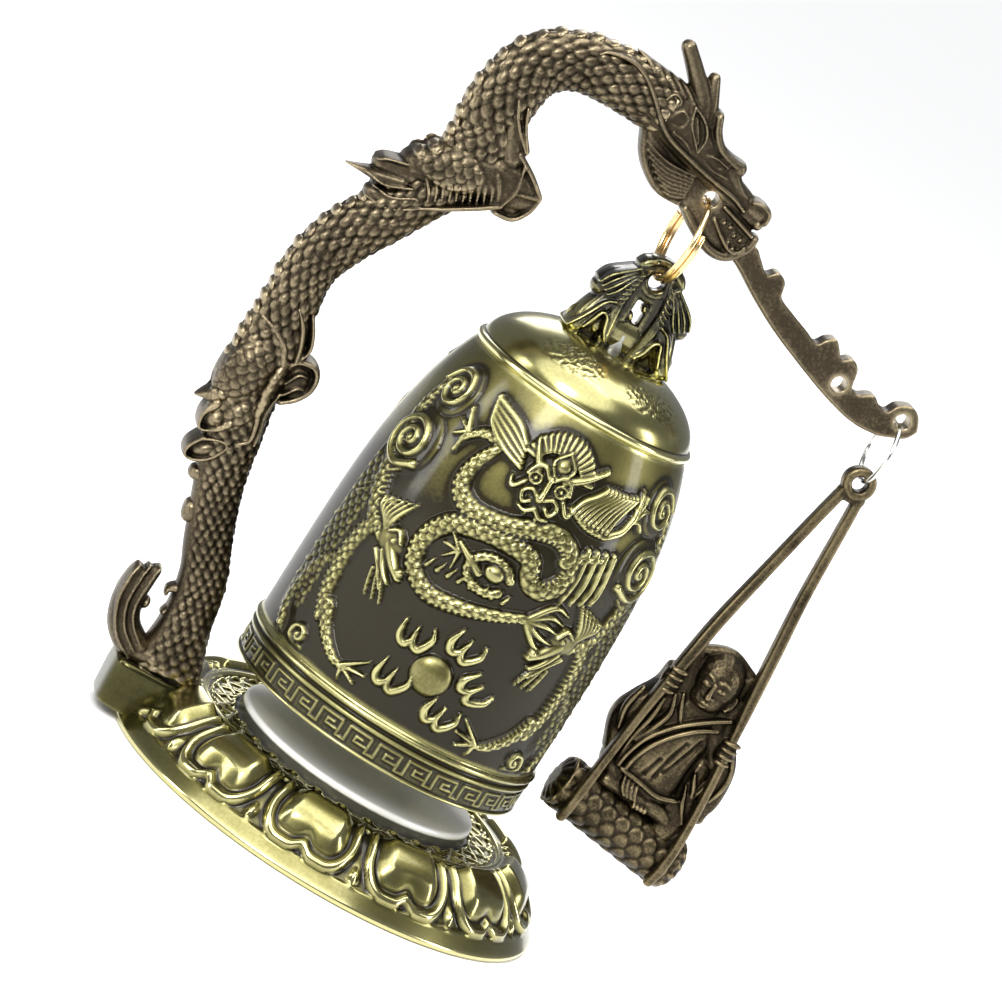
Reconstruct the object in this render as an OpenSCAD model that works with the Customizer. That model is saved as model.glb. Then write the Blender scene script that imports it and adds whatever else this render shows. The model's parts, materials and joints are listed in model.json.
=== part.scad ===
// Desk temple bell on a dragon arm.
// A bell hangs by a split ring from a dragon's mouth. The dragon holds a beam in its jaws, and a
// striker in the shape of a seated figure with a log hangs from the beam's end on a jump ring.
// Millimetres, +Z up. The origin is the centre of the base's underside. The arm lies in the XZ
// plane, with its column at -X and the striker at +X.

/* [Base] */
// Diameter of the lotus base at its foot
base_d = 66; // [60:1:84]
// Height of the straight foot rim
rim_h = 0.8; // [0.5:0.1:1.5]
// Diameter of the ring that closes the petals
ring_d = 47; // [44:1:52]
// Height of that ring
ring_z = 8.7; // [7.6:0.1:12]
// Diameter of the polished disc under the bell
disc_d = 36; // [30:1:42]
// Height of the disc's top face
disc_z = 10.4; // [9.6:0.1:14]
// Wall of the hollow casting
base_wall = 1.8; // [1.4:0.1:2.2]

/* [Column fixing] */
// Distance from the foot rim in to the column's screw
lug_inset = 1.5; // [1:0.1:3]
// Radius of the lug that carries the column
lug_r = 5.5; // [5:0.1:7]
// Height of the lug's top face
lug_z = 8; // [7:0.1:10]
// Diameter of the two machine screws
screw_d = 3; // [2.5:0.1:3.5]
// Clearance of a screw in its plain hole, on the diameter
screw_play = 0.4; // [0.2:0.1:0.6]
// Diameter of a screw's head
screw_head_d = 5.4; // [5:0.1:6]
// Height of a screw's head
screw_head_h = 1.8; // [1.4:0.1:2.2]
// Depth of the counterbore under the lug
counterbore = 3.2; // [2.6:0.1:4]
// How far the column screw reaches into the foot
column_thread = 5; // [4:0.5:7]
// Diameter of the peg that keeps the column from turning
peg_d = 1.8; // [1.5:0.1:2.2]
// Length of that peg
peg_l = 1.6; // [1.2:0.1:2]

/* [Arm] */
// Greatest thickness of the dragon's body
body_t = 6.4; // [5:0.1:8]
// Thickness of the beam and of the jaw at its hole
beam_t = 3; // [2.6:0.1:3.6]
// Half width of the beam
beam_half = 2.2; // [2:0.1:2.8]
// Diameter of the three holes
eye_d = 2.2; // [2:0.1:2.6]
// Bevel round the holes that carry rings
eye_bevel = 0.5; // [0.4:0.05:0.7]
// Distance from the bell's hole to the spare hole
spare_reach = 29; // [26:0.5:31]
// Gap between the bell's mouth and the column's foot
column_gap = 3.8; // [3:0.1:8]

/* [Bell] */
// Diameter of the bell at its mouth
mouth_d = 43.2; // [38:0.2:52]
// Diameter of the bell at its shoulder ring
shoulder_d = 32; // [28:0.2:38]
// Height from the mouth to the shoulder ring
shoulder_h = 53.7; // [45:0.1:66]
// Height of the dome from the shoulder ring to the crown's seat
dome_h = 7; // [6:0.1:9]
// Diameter of the flat seat under the crown
seat_d = 15.4; // [14:0.1:18]
// Wall of the bell
bell_wall = 2; // [1.6:0.1:2.6]
// Gap between the polished disc and the mouth
mouth_gap = 5.2; // [4:0.1:9]
// Height from the crown's seat to its hole
crown_h = 10.9; // [10.4:0.1:13]
// Greatest thickness of the crown
crown_t = 5; // [4:0.1:6]
// Diameter of the crown's hole
crown_eye_d = 2.2; // [2:0.1:2.6]

/* [Rings] */
// Radius of the split ring to the middle of its wire
split_r = 6.2; // [5.8:0.05:7.5]
// Diameter of the split ring's wire
split_wire = 0.8; // [0.6:0.05:0.9]
// Radius of the jump ring to the middle of its wire
jump_r = 4.6; // [4.2:0.05:5.6]
// Diameter of the jump ring's wire
jump_wire = 0.7; // [0.5:0.05:0.9]
// Gap left between a ring and the rim that it hangs on
ring_gap = 0.05; // [0.03:0.01:0.1]

/* [Striker] */
// Height from the striker's hole down to the middle of the log
striker_h = 57.5; // [50:0.5:66]
// Length of the log
log_l = 21; // [18:0.5:26]
// Radius of the log
log_r = 4.2; // [3.6:0.1:5]
// Slope of the log
log_slope = 10; // [0:1:16]
// Distance from the hole to the log's inner end, measured level
log_reach = 14.2; // [13:0.1:17]
// Gap between the bell's mouth and the log
strike_gap = 3.7; // [3:0.1:8]
// Thickness of the striker's rods
rod_t = 2; // [1.6:0.1:2.6]
// Width of the striker's rods
rod_w = 1.7; // [1.4:0.1:2.2]
// Thickness of the striker at its hole
striker_eye_t = 2.6; // [2.2:0.1:3]
// Diameter of the striker's hole
striker_eye_d = 2.1; // [2:0.1:2.6]
// Depth of the figure behind the rods' middle
figure_back = 3.2; // [2.6:0.1:4]
// Depth of the figure in front of the rods' middle
figure_front = 3.8; // [3:0.1:5]

/* [Hidden] */
$fn = 72;
eps = 0.05;

base_r = base_d / 2;
ring_r = ring_d / 2;
disc_r = disc_d / 2;
mouth_r = mouth_d / 2;
shoulder_r = shoulder_d / 2;
seat_r = seat_d / 2;
eye_r = eye_d / 2;
split_wr = split_wire / 2;
jump_wr = jump_wire / 2;
// The two coils of the split ring touch each other
coil_off = split_wr - 0.01;

// A ring hangs on the bevelled rims of a hole: how far its wire lies from the hole's middle
function sag(r, y) = r - sqrt(r * r - y * y);
function hang(hole_r, wire_r, off, r, y) =
    sqrt(pow(hole_r - wire_r - ring_gap, 2) - off * off) - sag(r, y);
beam_rim = beam_t / 2 - eye_bevel;
striker_rim = striker_eye_t / 2 - eye_bevel;

// Places along X
foot_x = lug_inset - base_r;
hang_x = foot_x + lug_r + column_gap + mouth_r - 0.2;
beam_reach = mouth_r + strike_gap + log_reach;
end_x = hang_x + beam_reach;

// Heights of the bell's chain, from the base up
mouth_z = disc_z + mouth_gap;
shoulder_z = mouth_z + shoulder_h;
seat_z = shoulder_z + dome_h;
crown_eye_z = seat_z + crown_h;
split_z = crown_eye_z + hang(crown_eye_d / 2, split_wr, coil_off, split_r, beam_rim) + split_r;
split_top_z = split_z + split_r;
eye_z = split_top_z + hang(eye_r, split_wr, coil_off, split_r, beam_rim);

// Heights of the striker's chain, from the beam down
end_drop = 12.8;
end_z = eye_z - end_drop;
jump_top_z = end_z - hang(eye_r, jump_wr, 0, jump_r, beam_rim);
jump_z = jump_top_z - jump_r;
striker_eye_z = jump_z - jump_r - hang(striker_eye_d / 2, jump_wr, 0, jump_r, striker_rim);
log_z = striker_eye_z - striker_h;
spare_x = hang_x + spare_reach;
spare_z = end_z + 0.1;
log_x = end_x - log_reach + (log_l / 2) * cos(log_slope) + (log_r - 0.8) * sin(log_slope);

// Half widths of the dragon's body are given with its middle line, as [x, z, half width].
// The column's points stand on the foot and stretch with the arm's height, the arch's lie over
// the foot at the jaw's height, and the neck's and head's go with the hole in the jaw.
column_h = eye_z - lug_z;
function rise(z) = lug_z + (z - 8) * column_h / 92.2;
function col(x, z, h) = [foot_x + x, rise(z), h];
function arch(x, z, h) = [foot_x + x, eye_z + z, h];
function neck(x, z, h) = [hang_x + x, eye_z + z, h];

// Catmull-Rom curve through the points p, with n steps between two of them
function curve_at(a, b, c, d, t) = 0.5 * (2 * b + (c - a) * t + (2 * a - 5 * b + 4 * c - d) * t * t
    + (3 * b - a - 3 * c + d) * t * t * t);
function curve(p, n = 4) = [
    for (i = [0 : len(p) - 2], j = [0 : n - 1])
        curve_at(p[max(i - 1, 0)], p[i], p[i + 1], p[min(i + 2, len(p) - 1)], j / n),
    p[len(p) - 1]];
// Outline of a band along c, whose half width is its third value times k
function side_at(c, i, k) =
    let (a = c[max(i - 1, 0)], b = c[min(i + 1, len(c) - 1)], d = [b[0] - a[0], b[1] - a[1]])
    [c[i][0] - d[1] / norm(d) * c[i][2] * k, c[i][1] + d[0] / norm(d) * c[i][2] * k];
function band(c, k = 1) = concat(
    [for (i = [0 : len(c) - 1]) side_at(c, i, k)],
    [for (i = [len(c) - 1 : -1 : 0]) side_at(c, i, -k)]);

// A shape drawn on X and Z, with thickness t, centred on the arm's plane
module slab(t) {
    rotate([90, 0, 0]) translate([0, 0, -t / 2]) linear_extrude(t) children();
}
// A pin or bore along Y, centred on the arm's plane
module cross_cylinder(x, z, r, t) {
    translate([x, 0, z]) rotate([90, 0, 0]) cylinder(h = t, r = r, center = true);
}
// A bevelled hole for a ring in a wall of thickness t
module ring_hole(x, z, r, t) {
    cross_cylinder(x, z, r, t + 2);
    for (s = [0, 180]) {
        translate([x, 0, z]) rotate([0, 0, s]) rotate([-90, 0, 0])
            translate([0, 0, t / 2 - eye_bevel])
                cylinder(h = eye_bevel + eps, r1 = r, r2 = r + eye_bevel + eps);
    }
}
module pan_screw(length) {
    cylinder(h = screw_head_h, d1 = screw_head_d - 0.8, d2 = screw_head_d);
    cylinder(h = screw_head_h + length, d = screw_d);
}

// Rising curve of the petals from the foot rim to the ring, set in by w
function petal_curve(w, n = 12) = [for (i = [0 : n]) let (s = i / n)
    [base_r - w - (base_r - ring_r) * s, rim_h + (ring_z - rim_h - w) * sin(90 * s)]];

module base() {
    floor_z = ring_z - 0.6;
    screw_z = lug_z - counterbore;
    color([0.55, 0.50, 0.26]) difference() {
        union() {
            rotate_extrude() polygon(concat([[base_r - base_wall, 0], [base_r, 0]],
                petal_curve(0),
                [[ring_r - 0.9, ring_z], [ring_r - 1.2, floor_z], [disc_r, floor_z],
                [disc_r, disc_z - 0.4], [disc_r - 0.4, disc_z], [0, disc_z],
                [0, floor_z - base_wall], [ring_r - base_wall, floor_z - base_wall]],
                [for (i = [11 : -1 : 0]) petal_curve(base_wall)[i]]));
            translate([foot_x, 0, 0]) cylinder(h = lug_z, r = lug_r);
        }
        translate([foot_x, 0, -1]) cylinder(h = lug_z + 2, d = screw_d + screw_play);
        translate([foot_x, 0, -1]) cylinder(h = counterbore + 1, d = screw_head_d + 0.8);
        translate([foot_x - lug_r + 1.8, 0, lug_z - peg_l - 0.4])
            cylinder(h = peg_l + 1, d = peg_d + 0.2);
    }
}

module column_screw() {
    color("silver") translate([foot_x, 0, counterbore - screw_head_h])
        pan_screw(lug_z - counterbore + column_thread);
}

// The dragon's body, from its foot up the column and over the arch to its neck
body_line = [col(0.6, 8, 5.4), col(0.4, 13, 4), col(-0.6, 20, 3), col(-3.3, 27, 3.2),
    col(-5.3, 34, 3.4), col(-7.4, 41, 4.2), col(-8.9, 47, 4.7), col(-9.3, 53, 5),
    col(-10, 60, 4), col(-10.2, 66, 3.7), col(-8.4, 71.5, 4), col(-5.4, 76.5, 3.9),
    col(-2.6, 81.5, 4), arch(-0.2, -13.4, 4.6), arch(0.5, -9, 4.4), arch(-0.7, -3.6, 4.3),
    arch(1, 3.4, 4.2), neck(-24.8, 6.8, 3.9), neck(-18, 7.7, 4), neck(-12, 7, 4)];
tail_line = [col(-1.5, 9.6, 1.7), col(-6.2, 10.8, 2), col(-8.9, 14.5, 1.7), col(-8, 19.8, 0.9)];
horn_line = [neck(-4, 7, 2.2), neck(-8.4, 10.7, 1.5), neck(-13.9, 16, 0.8)];
prong_line = [neck(-6, 8.5, 1.4), neck(-8.1, 14, 0.8)];
beam_line = [neck(4.6, -3, beam_half + 0.3), neck(11, -5.2, beam_half), neck(18, -9, beam_half),
    neck(25, -12, beam_half), [hang_x + beam_reach - 7, end_z - 1, beam_half],
    [end_x - 1.2, end_z - 0.8, beam_half]];
head_outline = [neck(-12.5, 2.9), neck(-10.5, 0), neck(-7.2, -2.4), neck(-3.9, -2.8),
    neck(-0.5, -3.8), neck(2.8, -5.7), neck(6.1, -6.2), neck(8, -4.6), neck(8.2, -1.3),
    neck(8, 1.6), neck(7.4, 3.1), neck(5.3, 3.3), neck(3.2, 2.9), neck(2.4, 5.4),
    neck(1.1, 7.1), neck(-1.4, 7.8), neck(-3.9, 9.1), neck(-5.5, 10.4), neck(-12.6, 11)];
face_outline = [neck(-11.6, 3.9), neck(-6, 2.6), neck(-0.4, 2.9), neck(2.5, 3.5), neck(1.8, 5.2),
    neck(0.7, 6.6), neck(-1.6, 7.2), neck(-4.1, 8.5), neck(-5.7, 9.8), neck(-11.6, 10.2)];
elbow_outline = [arch(0.7, -17.5), arch(5.3, -15.9), arch(9.3, -15), arch(10.8, -11.3),
    arch(7.2, -8.4), arch(4, -5.2), arch(-0.3, -8)];
claw_outline = [col(-2.5, 76), col(-8.5, 78.5), col(-13.3, 80.3), col(-9.4, 83.5),
    col(-6.1, 86), col(0, 84)];
function flat(p) = [for (q = p) [q[0], q[1]]];

// The casting's thinnest, middle and full layers, drawn on X and Z
module arm_thin_layer() {
    polygon(flat(head_outline));
    polygon(band(curve(beam_line)));
    translate([end_x, end_z]) circle(r = eye_r + 1.5);
    translate([spare_x, spare_z]) circle(r = eye_r + 1.6);
    translate([spare_x - 3.4, spare_z + 2.1]) circle(r = 1.7);
    translate([hang_x + 13.6, eye_z - 5]) circle(r = 1.6);
}
module arm_middle_layer() {
    polygon(band(curve(body_line)));
    polygon(band(curve(horn_line)));
    polygon(band(curve(prong_line)));
    polygon(band(curve(tail_line)));
    polygon(flat(elbow_outline));
    polygon(flat(claw_outline));
    translate([foot_x - 4.8, rise(52.6)]) circle(r = 3.1);
}
module arm_full_layer() {
    polygon(band(curve(body_line), 0.7));
    polygon(flat(face_outline));
}

module dragon_arm() {
    color([0.43, 0.38, 0.30]) {
        difference() {
            union() {
                translate([foot_x, 0, lug_z]) cylinder(h = 2, r = lug_r - 0.2);
                slab(beam_t) arm_thin_layer();
                slab(body_t * 0.65) arm_middle_layer();
                slab(body_t) arm_full_layer();
            }
            translate([foot_x - 20, -body_t, lug_z - 5]) cube([40, 2 * body_t, 5]);
            translate([foot_x, 0, lug_z - 1]) cylinder(h = column_thread + 2, d = screw_d);
            ring_hole(hang_x, eye_z, eye_r, beam_t);
            ring_hole(end_x, end_z, eye_r, beam_t);
            cross_cylinder(spare_x, spare_z, eye_r, beam_t + 2);
        }
        translate([foot_x - lug_r + 1.8, 0, lug_z - peg_l]) cylinder(h = peg_l + 1, d = peg_d);
    }
}

// One wire turn in the YZ plane, centred on its own middle
module wire_turn(r, wire_r, sweep = 360) {
    rotate([0, 90, 0]) rotate([0, 0, 180 - sweep / 2]) rotate_extrude(angle = sweep)
        translate([r, 0]) circle(r = wire_r, $fn = 24);
}

module bell_split_ring() {
    color("gold") translate([hang_x, 0, split_z]) {
        translate([-coil_off, 0, 0]) wire_turn(split_r, split_wr);
        translate([coil_off, 0, 0]) wire_turn(split_r, split_wr, 220);
    }
}

// Radius of the bell at height z over its mouth, straight below and closing in at the shoulder
function bell_r(z) = mouth_r - (mouth_r - shoulder_r) * pow(z / shoulder_h, 4.8);
// The side from the mouth to the shoulder, and the dome on it, set in by w
function bell_side(w, n = 16) = [for (i = [0 : n]) let (z = shoulder_h * i / n)
    [bell_r(z) - w, mouth_z + z]];
dome_end = acos(seat_r / shoulder_r);
function bell_dome(w, n = 8) = [for (i = [1 : n]) let (a = dome_end * i / n)
    [shoulder_r * cos(a) - w, shoulder_z + (dome_h * sin(a) / sin(dome_end)) - w * (i / n)]];
function reversed(p) = [for (i = [len(p) - 1 : -1 : 0]) p[i]];

module bell_shell() {
    color([0.60, 0.56, 0.27]) difference() {
        union() {
            rotate_bell() polygon(concat(bell_side(0), bell_dome(0),
                [[0, seat_z], [0, seat_z - bell_wall]], reversed(bell_dome(bell_wall)),
                reversed(bell_side(bell_wall))));
            for (b = [[0.5, 0.3], [4.7, 0.35], [5.8, 0.35], [shoulder_h - 0.5, 0.5]]) {
                rotate_bell() translate([bell_r(b[0]) - 0.2, mouth_z + b[0]])
                    circle(r = b[1] + 0.2, $fn = 20);
            }
        }
        translate([hang_x, 0, seat_z - bell_wall - 1])
            cylinder(h = bell_wall + 2, d = screw_d + screw_play);
    }
}
module rotate_bell() {
    translate([hang_x, 0, 0]) rotate_extrude() children();
}

crown_half = [[7.2, 0], [5.7, 2.6], [5.4, 4.6], [6.9, 7], [6.6, 9.2], [4.7, 10.2], [4.4, 11.4],
    [2.7, 12.6], [2.1, 13.9], [0.9, 14.4]];
module crown_loop() {
    arch_r = 2;
    arch_low = 3.8;
    stretch = crown_h / 10.9;
    outline = concat([for (p = crown_half) [p[0], p[1] * stretch]],
        [for (p = reversed(crown_half)) [-p[0], p[1] * stretch]]);
    color([0.20, 0.18, 0.12]) translate([hang_x, 0, seat_z]) difference() {
        union() {
            cylinder(h = 1, r = seat_r - 0.1);
            slab(beam_t) polygon(outline);
            difference() {
                slab(crown_t) polygon(outline);
                translate([-1.6, -crown_t, crown_h - 2.6]) cube([3.2, 2 * crown_t, 8]);
            }
        }
        cross_cylinder(0, crown_h - 4.6, arch_r, crown_t + 2);
        translate([-arch_r, -crown_t, arch_low])
            cube([2 * arch_r, 2 * crown_t, crown_h - 4.6 - arch_low]);
        translate([0, 0, -1]) cylinder(h = arch_low - 0.2, d = screw_d);
        ring_hole(0, crown_h, crown_eye_d / 2, beam_t);
    }
}

module crown_screw() {
    color("silver") translate([hang_x, 0, seat_z - bell_wall - screw_head_h])
        pan_screw(bell_wall + 2.6);
}

module striker_jump_ring() {
    color("silver") translate([end_x, 0, jump_z]) wire_turn(jump_r, jump_wr);
}

// Places on the striker, measured from its hole
function on_striker(x, z) = [end_x + x, striker_eye_z + z * striker_h / 57.5];
function rod_line(a, b) = [[a[0], a[1], rod_w / 2], [b[0], b[1], rod_w / 2]];
robe_outline = [on_striker(-12.4, -44), on_striker(-10.9, -39.4), on_striker(-8.6, -34.4),
    on_striker(-5, -32.6), on_striker(2, -32.6), on_striker(5, -37.4), on_striker(7.9, -44.6),
    on_striker(7.4, -50), on_striker(4.6, -52.5), on_striker(-10, -50.5), on_striker(-12.2, -48.5)];
module striker() {
    depth = figure_front + figure_back;
    head_r = 3.8;
    color([0.30, 0.25, 0.20]) difference() {
        union() {
            cross_cylinder(end_x, striker_eye_z, striker_eye_d / 2 + 1.3, striker_eye_t);
            slab(rod_t) polygon(band(rod_line(on_striker(-1.2, -1.4), on_striker(-10.5, -54.2))));
            slab(rod_t) polygon(band(rod_line(on_striker(1.1, -1.4), on_striker(5.4, -58.2))));
            translate([0, (figure_back - figure_front) / 2, 0])
                slab(depth - 0.6) polygon(robe_outline);
            translate([on_striker(-2, 0)[0], -0.5, on_striker(0, -32.4)[1]]) sphere(r = head_r);
            translate([log_x, 0, log_z]) rotate([0, 90 + log_slope, 0]) {
                cylinder(h = log_l - 5, r = log_r, center = true);
                cylinder(h = log_l, r = log_r - 0.8, center = true);
                for (s = [-1, 1]) {
                    translate([0, 0, s * (log_l / 2 - 3.4)])
                        cylinder(h = 1.4, r = log_r + 0.3, center = true);
                }
            }
        }
        translate([end_x - 30, figure_back, log_z - 15]) cube([60, 10, 60]);
        ring_hole(end_x, striker_eye_z, striker_eye_d / 2, striker_eye_t);
    }
}

base();
dragon_arm();
column_screw();
bell_split_ring();
bell_shell();
crown_loop();
crown_screw();
striker_jump_ring();
striker();
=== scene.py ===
"""Looks of the desk temple bell on its dragon arm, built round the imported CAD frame.

Lengths below are millimetres, and put_mesh() turns them into metres. Every piece is a closed
skin worked out on a grid of two parameters, or several such skins fused into one casting.
"""

import json

import bpy
import numpy as np
from mathutils import Matrix


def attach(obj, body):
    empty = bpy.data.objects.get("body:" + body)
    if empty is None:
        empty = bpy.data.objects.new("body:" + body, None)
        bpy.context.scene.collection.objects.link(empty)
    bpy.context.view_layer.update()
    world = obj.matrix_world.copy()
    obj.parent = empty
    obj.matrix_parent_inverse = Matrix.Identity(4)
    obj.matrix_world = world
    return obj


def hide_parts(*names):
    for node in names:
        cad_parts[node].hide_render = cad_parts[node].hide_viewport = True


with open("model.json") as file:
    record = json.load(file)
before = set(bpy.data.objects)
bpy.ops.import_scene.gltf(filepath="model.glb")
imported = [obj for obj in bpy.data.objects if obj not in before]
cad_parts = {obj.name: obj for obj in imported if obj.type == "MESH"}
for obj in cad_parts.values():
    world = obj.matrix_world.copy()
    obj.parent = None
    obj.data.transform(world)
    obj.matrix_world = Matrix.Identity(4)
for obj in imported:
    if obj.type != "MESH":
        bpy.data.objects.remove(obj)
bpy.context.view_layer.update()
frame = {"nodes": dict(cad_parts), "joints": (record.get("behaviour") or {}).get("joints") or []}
MM = 0.001

joint_place = {j["name"]: np.array(j["pos_m"]) / MM for j in frame["joints"]}
hang_x = joint_place["bell_front_swing"][0]
split_z = joint_place["bell_front_swing"][2]
split_top_z = joint_place["bell_side_swing"][2]
end_x = joint_place["striker_swing"][0]
jump_top_z = joint_place["striker_swing"][2]
jump_z = joint_place["striker_front_swing"][2]


# The camera looks a little down at the front, from the left, and is rolled so that the whole
# stand leans to the right.
look = np.array([0.2711, 0.9455, -0.1802])
look /= np.linalg.norm(look)
level = np.cross(look, [0, 0, 1])
level /= np.linalg.norm(level)
upward = np.cross(level, look)
roll = np.radians(32.3)
camera_x = level * np.cos(roll) + upward * np.sin(roll)
camera_y = upward * np.cos(roll) - level * np.sin(roll)
camera = bpy.data.objects.new("camera", bpy.data.cameras.new("camera"))
camera.data.lens = 160
camera.data.sensor_width = 36
camera.matrix_world = Matrix(
    [[*row, place] for row, place in
     zip(np.stack([camera_x, camera_y, -look], 1), (-0.1647, -0.5653, 0.1587))]
    + [[0, 0, 0, 1]])
bpy.context.scene.collection.objects.link(camera)
bpy.context.scene.camera = camera


# The floor is a plain pale sheet, and the light is soft: a broad ceiling light, and panels at
# the front and both sides that the glossy metal mirrors as bright windows.
def put_mesh(name, points, faces, smooth=True):
    """A mesh object of points in millimetres and faces of four corners, or three and -1."""
    mesh = bpy.data.meshes.new(name)
    used = faces >= 0
    sides = used.sum(1)
    mesh.vertices.add(len(points))
    mesh.vertices.foreach_set("co", (np.asarray(points) * MM).astype(np.float32).ravel())
    mesh.loops.add(int(sides.sum()))
    mesh.loops.foreach_set("vertex_index", faces[used].astype(np.int32))
    mesh.polygons.add(len(faces))
    starts = np.concatenate([[0], np.cumsum(sides)[:-1]])
    mesh.polygons.foreach_set("loop_start", starts.astype(np.int32))
    mesh.update(calc_edges=True)
    mesh.validate()
    if smooth:
        mesh.shade_smooth()
    piece = bpy.data.objects.new(name, mesh)
    bpy.context.scene.collection.objects.link(piece)
    return piece


def shader(name):
    """A new material, its node tree, and its Principled node."""
    material = bpy.data.materials.new(name)
    material.use_nodes = True
    nodes = material.node_tree.nodes
    return material, material.node_tree, nodes["Principled BSDF"]


floor = put_mesh("floor", np.array([[-9000, -9000, 0], [9000, -9000, 0], [9000, 9000, 0],
                                    [-9000, 9000, 0]]), np.array([[0, 1, 2, 3]]))
floor_paint, _, floor_shader = shader("floor_paint")
floor_shader.inputs["Base Color"].default_value = (0.97, 0.97, 0.97, 1)
floor_shader.inputs["Roughness"].default_value = 0.9
floor_shader.inputs["Specular IOR Level"].default_value = 0.1
floor.data.materials.append(floor_paint)


def panel_light(name, place, aim, width, height, watts):
    """A soft rectangular light at place, facing aim, both in metres."""
    lamp = bpy.data.lights.new(name, "AREA")
    lamp.shape = "RECTANGLE"
    lamp.size, lamp.size_y, lamp.energy = width, height, watts
    light = bpy.data.objects.new(name, lamp)
    back = np.array(place, float) - np.array(aim, float)
    back /= np.linalg.norm(back)
    side = np.cross([0, 0, 1], back)
    side /= np.linalg.norm(side)
    light.matrix_world = Matrix(
        [[*row, spot] for row, spot in zip(np.stack([side, np.cross(back, side), back], 1), place)]
        + [[0, 0, 0, 1]])
    bpy.context.scene.collection.objects.link(light)


middle = (0, 0, 0.055)
panel_light("ceiling", (0.10, 0.10, 0.80), middle, 0.5, 0.5, 3.4)
panel_light("front_window", (-0.42, -0.62, 0.50), middle, 0.22, 0.34, 4.0)
panel_light("right_window", (0.72, -0.30, 0.28), middle, 0.16, 0.5, 2.6)
panel_light("left_window", (-0.75, -0.05, 0.20), middle, 0.14, 0.5, 2.2)
panel_light("back_fill", (0.1, 0.8, 0.5), middle, 0.5, 0.3, 2.0)
sky = bpy.data.lights.new("soft_sky", "SUN")
sky.angle = np.radians(70)
sky.energy = 2.8
sky_light = bpy.data.objects.new("soft_sky", sky)
sky_light.rotation_euler = (np.radians(28), np.radians(-22), 0)
bpy.context.scene.collection.objects.link(sky_light)
world = bpy.data.worlds.new("room")
world.use_nodes = True
world.node_tree.nodes["Background"].inputs["Color"].default_value = (0.95, 0.97, 1.0, 1)
world.node_tree.nodes["Background"].inputs["Strength"].default_value = 0.28
bpy.context.scene.world = world
bpy.context.scene.view_settings.view_transform = "Standard"


# The base is one hollow brass casting: a round foot rim, twelve lotus petals, a bead ring, and
# a sunk ring of small waves round the disc. It's lacquered, with dark finish left in the lows.
def grid_faces(rows, columns, wrap_rows=False, wrap_columns=True):
    """Quads between neighbouring points of a grid stored row by row."""
    i, j = np.meshgrid(np.arange(rows - (not wrap_rows)), np.arange(columns - (not wrap_columns)),
                       indexing="ij")
    i2, j2 = (i + 1) % rows, (j + 1) % columns
    corners = [i * columns + j, i * columns + j2, i2 * columns + j2, i2 * columns + j]
    return np.stack(corners, -1).reshape(-1, 4)


def outward(points, faces):
    """The faces turned over if the volume that they enclose comes out negative."""
    a, b, c = points[faces[:, 0]], points[faces[:, 1]], points[faces[:, 2]]
    volume = np.einsum("ij,ij->", a, np.cross(b, c))
    four = faces[:, 3] >= 0
    volume += np.einsum("ij,ij->", a[four], np.cross(c[four], points[faces[four, 3]]))
    if volume > 0:
        return faces
    return np.where(four[:, None], faces[:, [0, 3, 2, 1]], faces[:, [0, 2, 1, 3]])


def closed_tube(rings, start=None, end=None):
    """Skin of rings[i, j], where each ring closes on itself and both ends close on a fan about
    their ring's middle, or about the point given."""
    n, m = rings.shape[:2]
    start = rings[0].mean(0) if start is None else start
    end = rings[-1].mean(0) if end is None else end
    points = np.concatenate([rings.reshape(-1, 3), [start, end]])
    j = np.arange(m)
    k = (j + 1) % m
    none = np.full(m, -1)
    first = np.stack([k, j, np.full(m, n * m), none], 1)
    last = np.stack([(n - 1) * m + j, (n - 1) * m + k, np.full(m, n * m + 1), none], 1)
    faces = np.concatenate([grid_faces(n, m), first, last])
    return points, outward(points, faces)


def spread(points, step):
    """The polyline through the points, cut into even steps along its length."""
    points = np.asarray(points, float)
    run = np.concatenate([[0], np.cumsum(np.linalg.norm(np.diff(points[:, :2], axis=0), axis=1))])
    at = np.linspace(0, run[-1], max(2, int(round(run[-1] / step)) + 1))
    return np.stack([np.interp(at, run, points[:, k]) for k in range(points.shape[1])], 1)


def profile_normals(profile):
    """Unit vectors square to a profile of (r, z) rows, on its left-hand side."""
    along = np.gradient(profile[:, :2], axis=0)
    along /= np.maximum(np.linalg.norm(along, axis=1), 1e-9)[:, None]
    return np.stack([-along[:, 1], along[:, 0]], 1)


def turned(profile, columns, height=None, centre=0.0):
    """Rings of a lathe-turned profile of (r, z) rows about the line x = centre, each point moved
    by height[row, column] square to the profile."""
    angle = np.linspace(0, 2 * np.pi, columns, endpoint=False)
    r = np.repeat(profile[:, :1], columns, 1)
    z = np.repeat(profile[:, 1:2], columns, 1)
    if height is not None:
        normal = profile_normals(profile)
        r = r + normal[:, :1] * height
        z = z + normal[:, 1:2] * height
    return np.stack([centre + r * np.sin(angle), -r * np.cos(angle), z], -1)


def ease(low, high, x):
    """0 at low and before it, 1 at high and past it, and a smooth S between them."""
    t = np.clip((x - low) / (high - low), 0, 1)
    return t * t * (3 - 2 * t)


def ridge(x, width):
    """A bell-shaped ridge of height 1 about x = 0."""
    return np.exp(-(x / width) ** 2)


def surroundings(mesh):
    """The mesh's points as rows in metres, the number of edges at each, and a function that
    sums a field of rows over each point's neighbours."""
    count = len(mesh.vertices)
    edge = np.empty(2 * len(mesh.edges), np.int32)
    mesh.edges.foreach_get("vertices", edge)
    a, b = edge[0::2], edge[1::2]
    place = np.empty(3 * count)
    mesh.vertices.foreach_get("co", place)
    touching = np.maximum(np.bincount(edge, minlength=count), 1)[:, None]

    def sum_near(field):
        return np.stack([np.bincount(a, field[b, k], count) + np.bincount(b, field[a, k], count)
                         for k in range(3)], 1)

    return place.reshape(-1, 3), touching, sum_near


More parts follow.
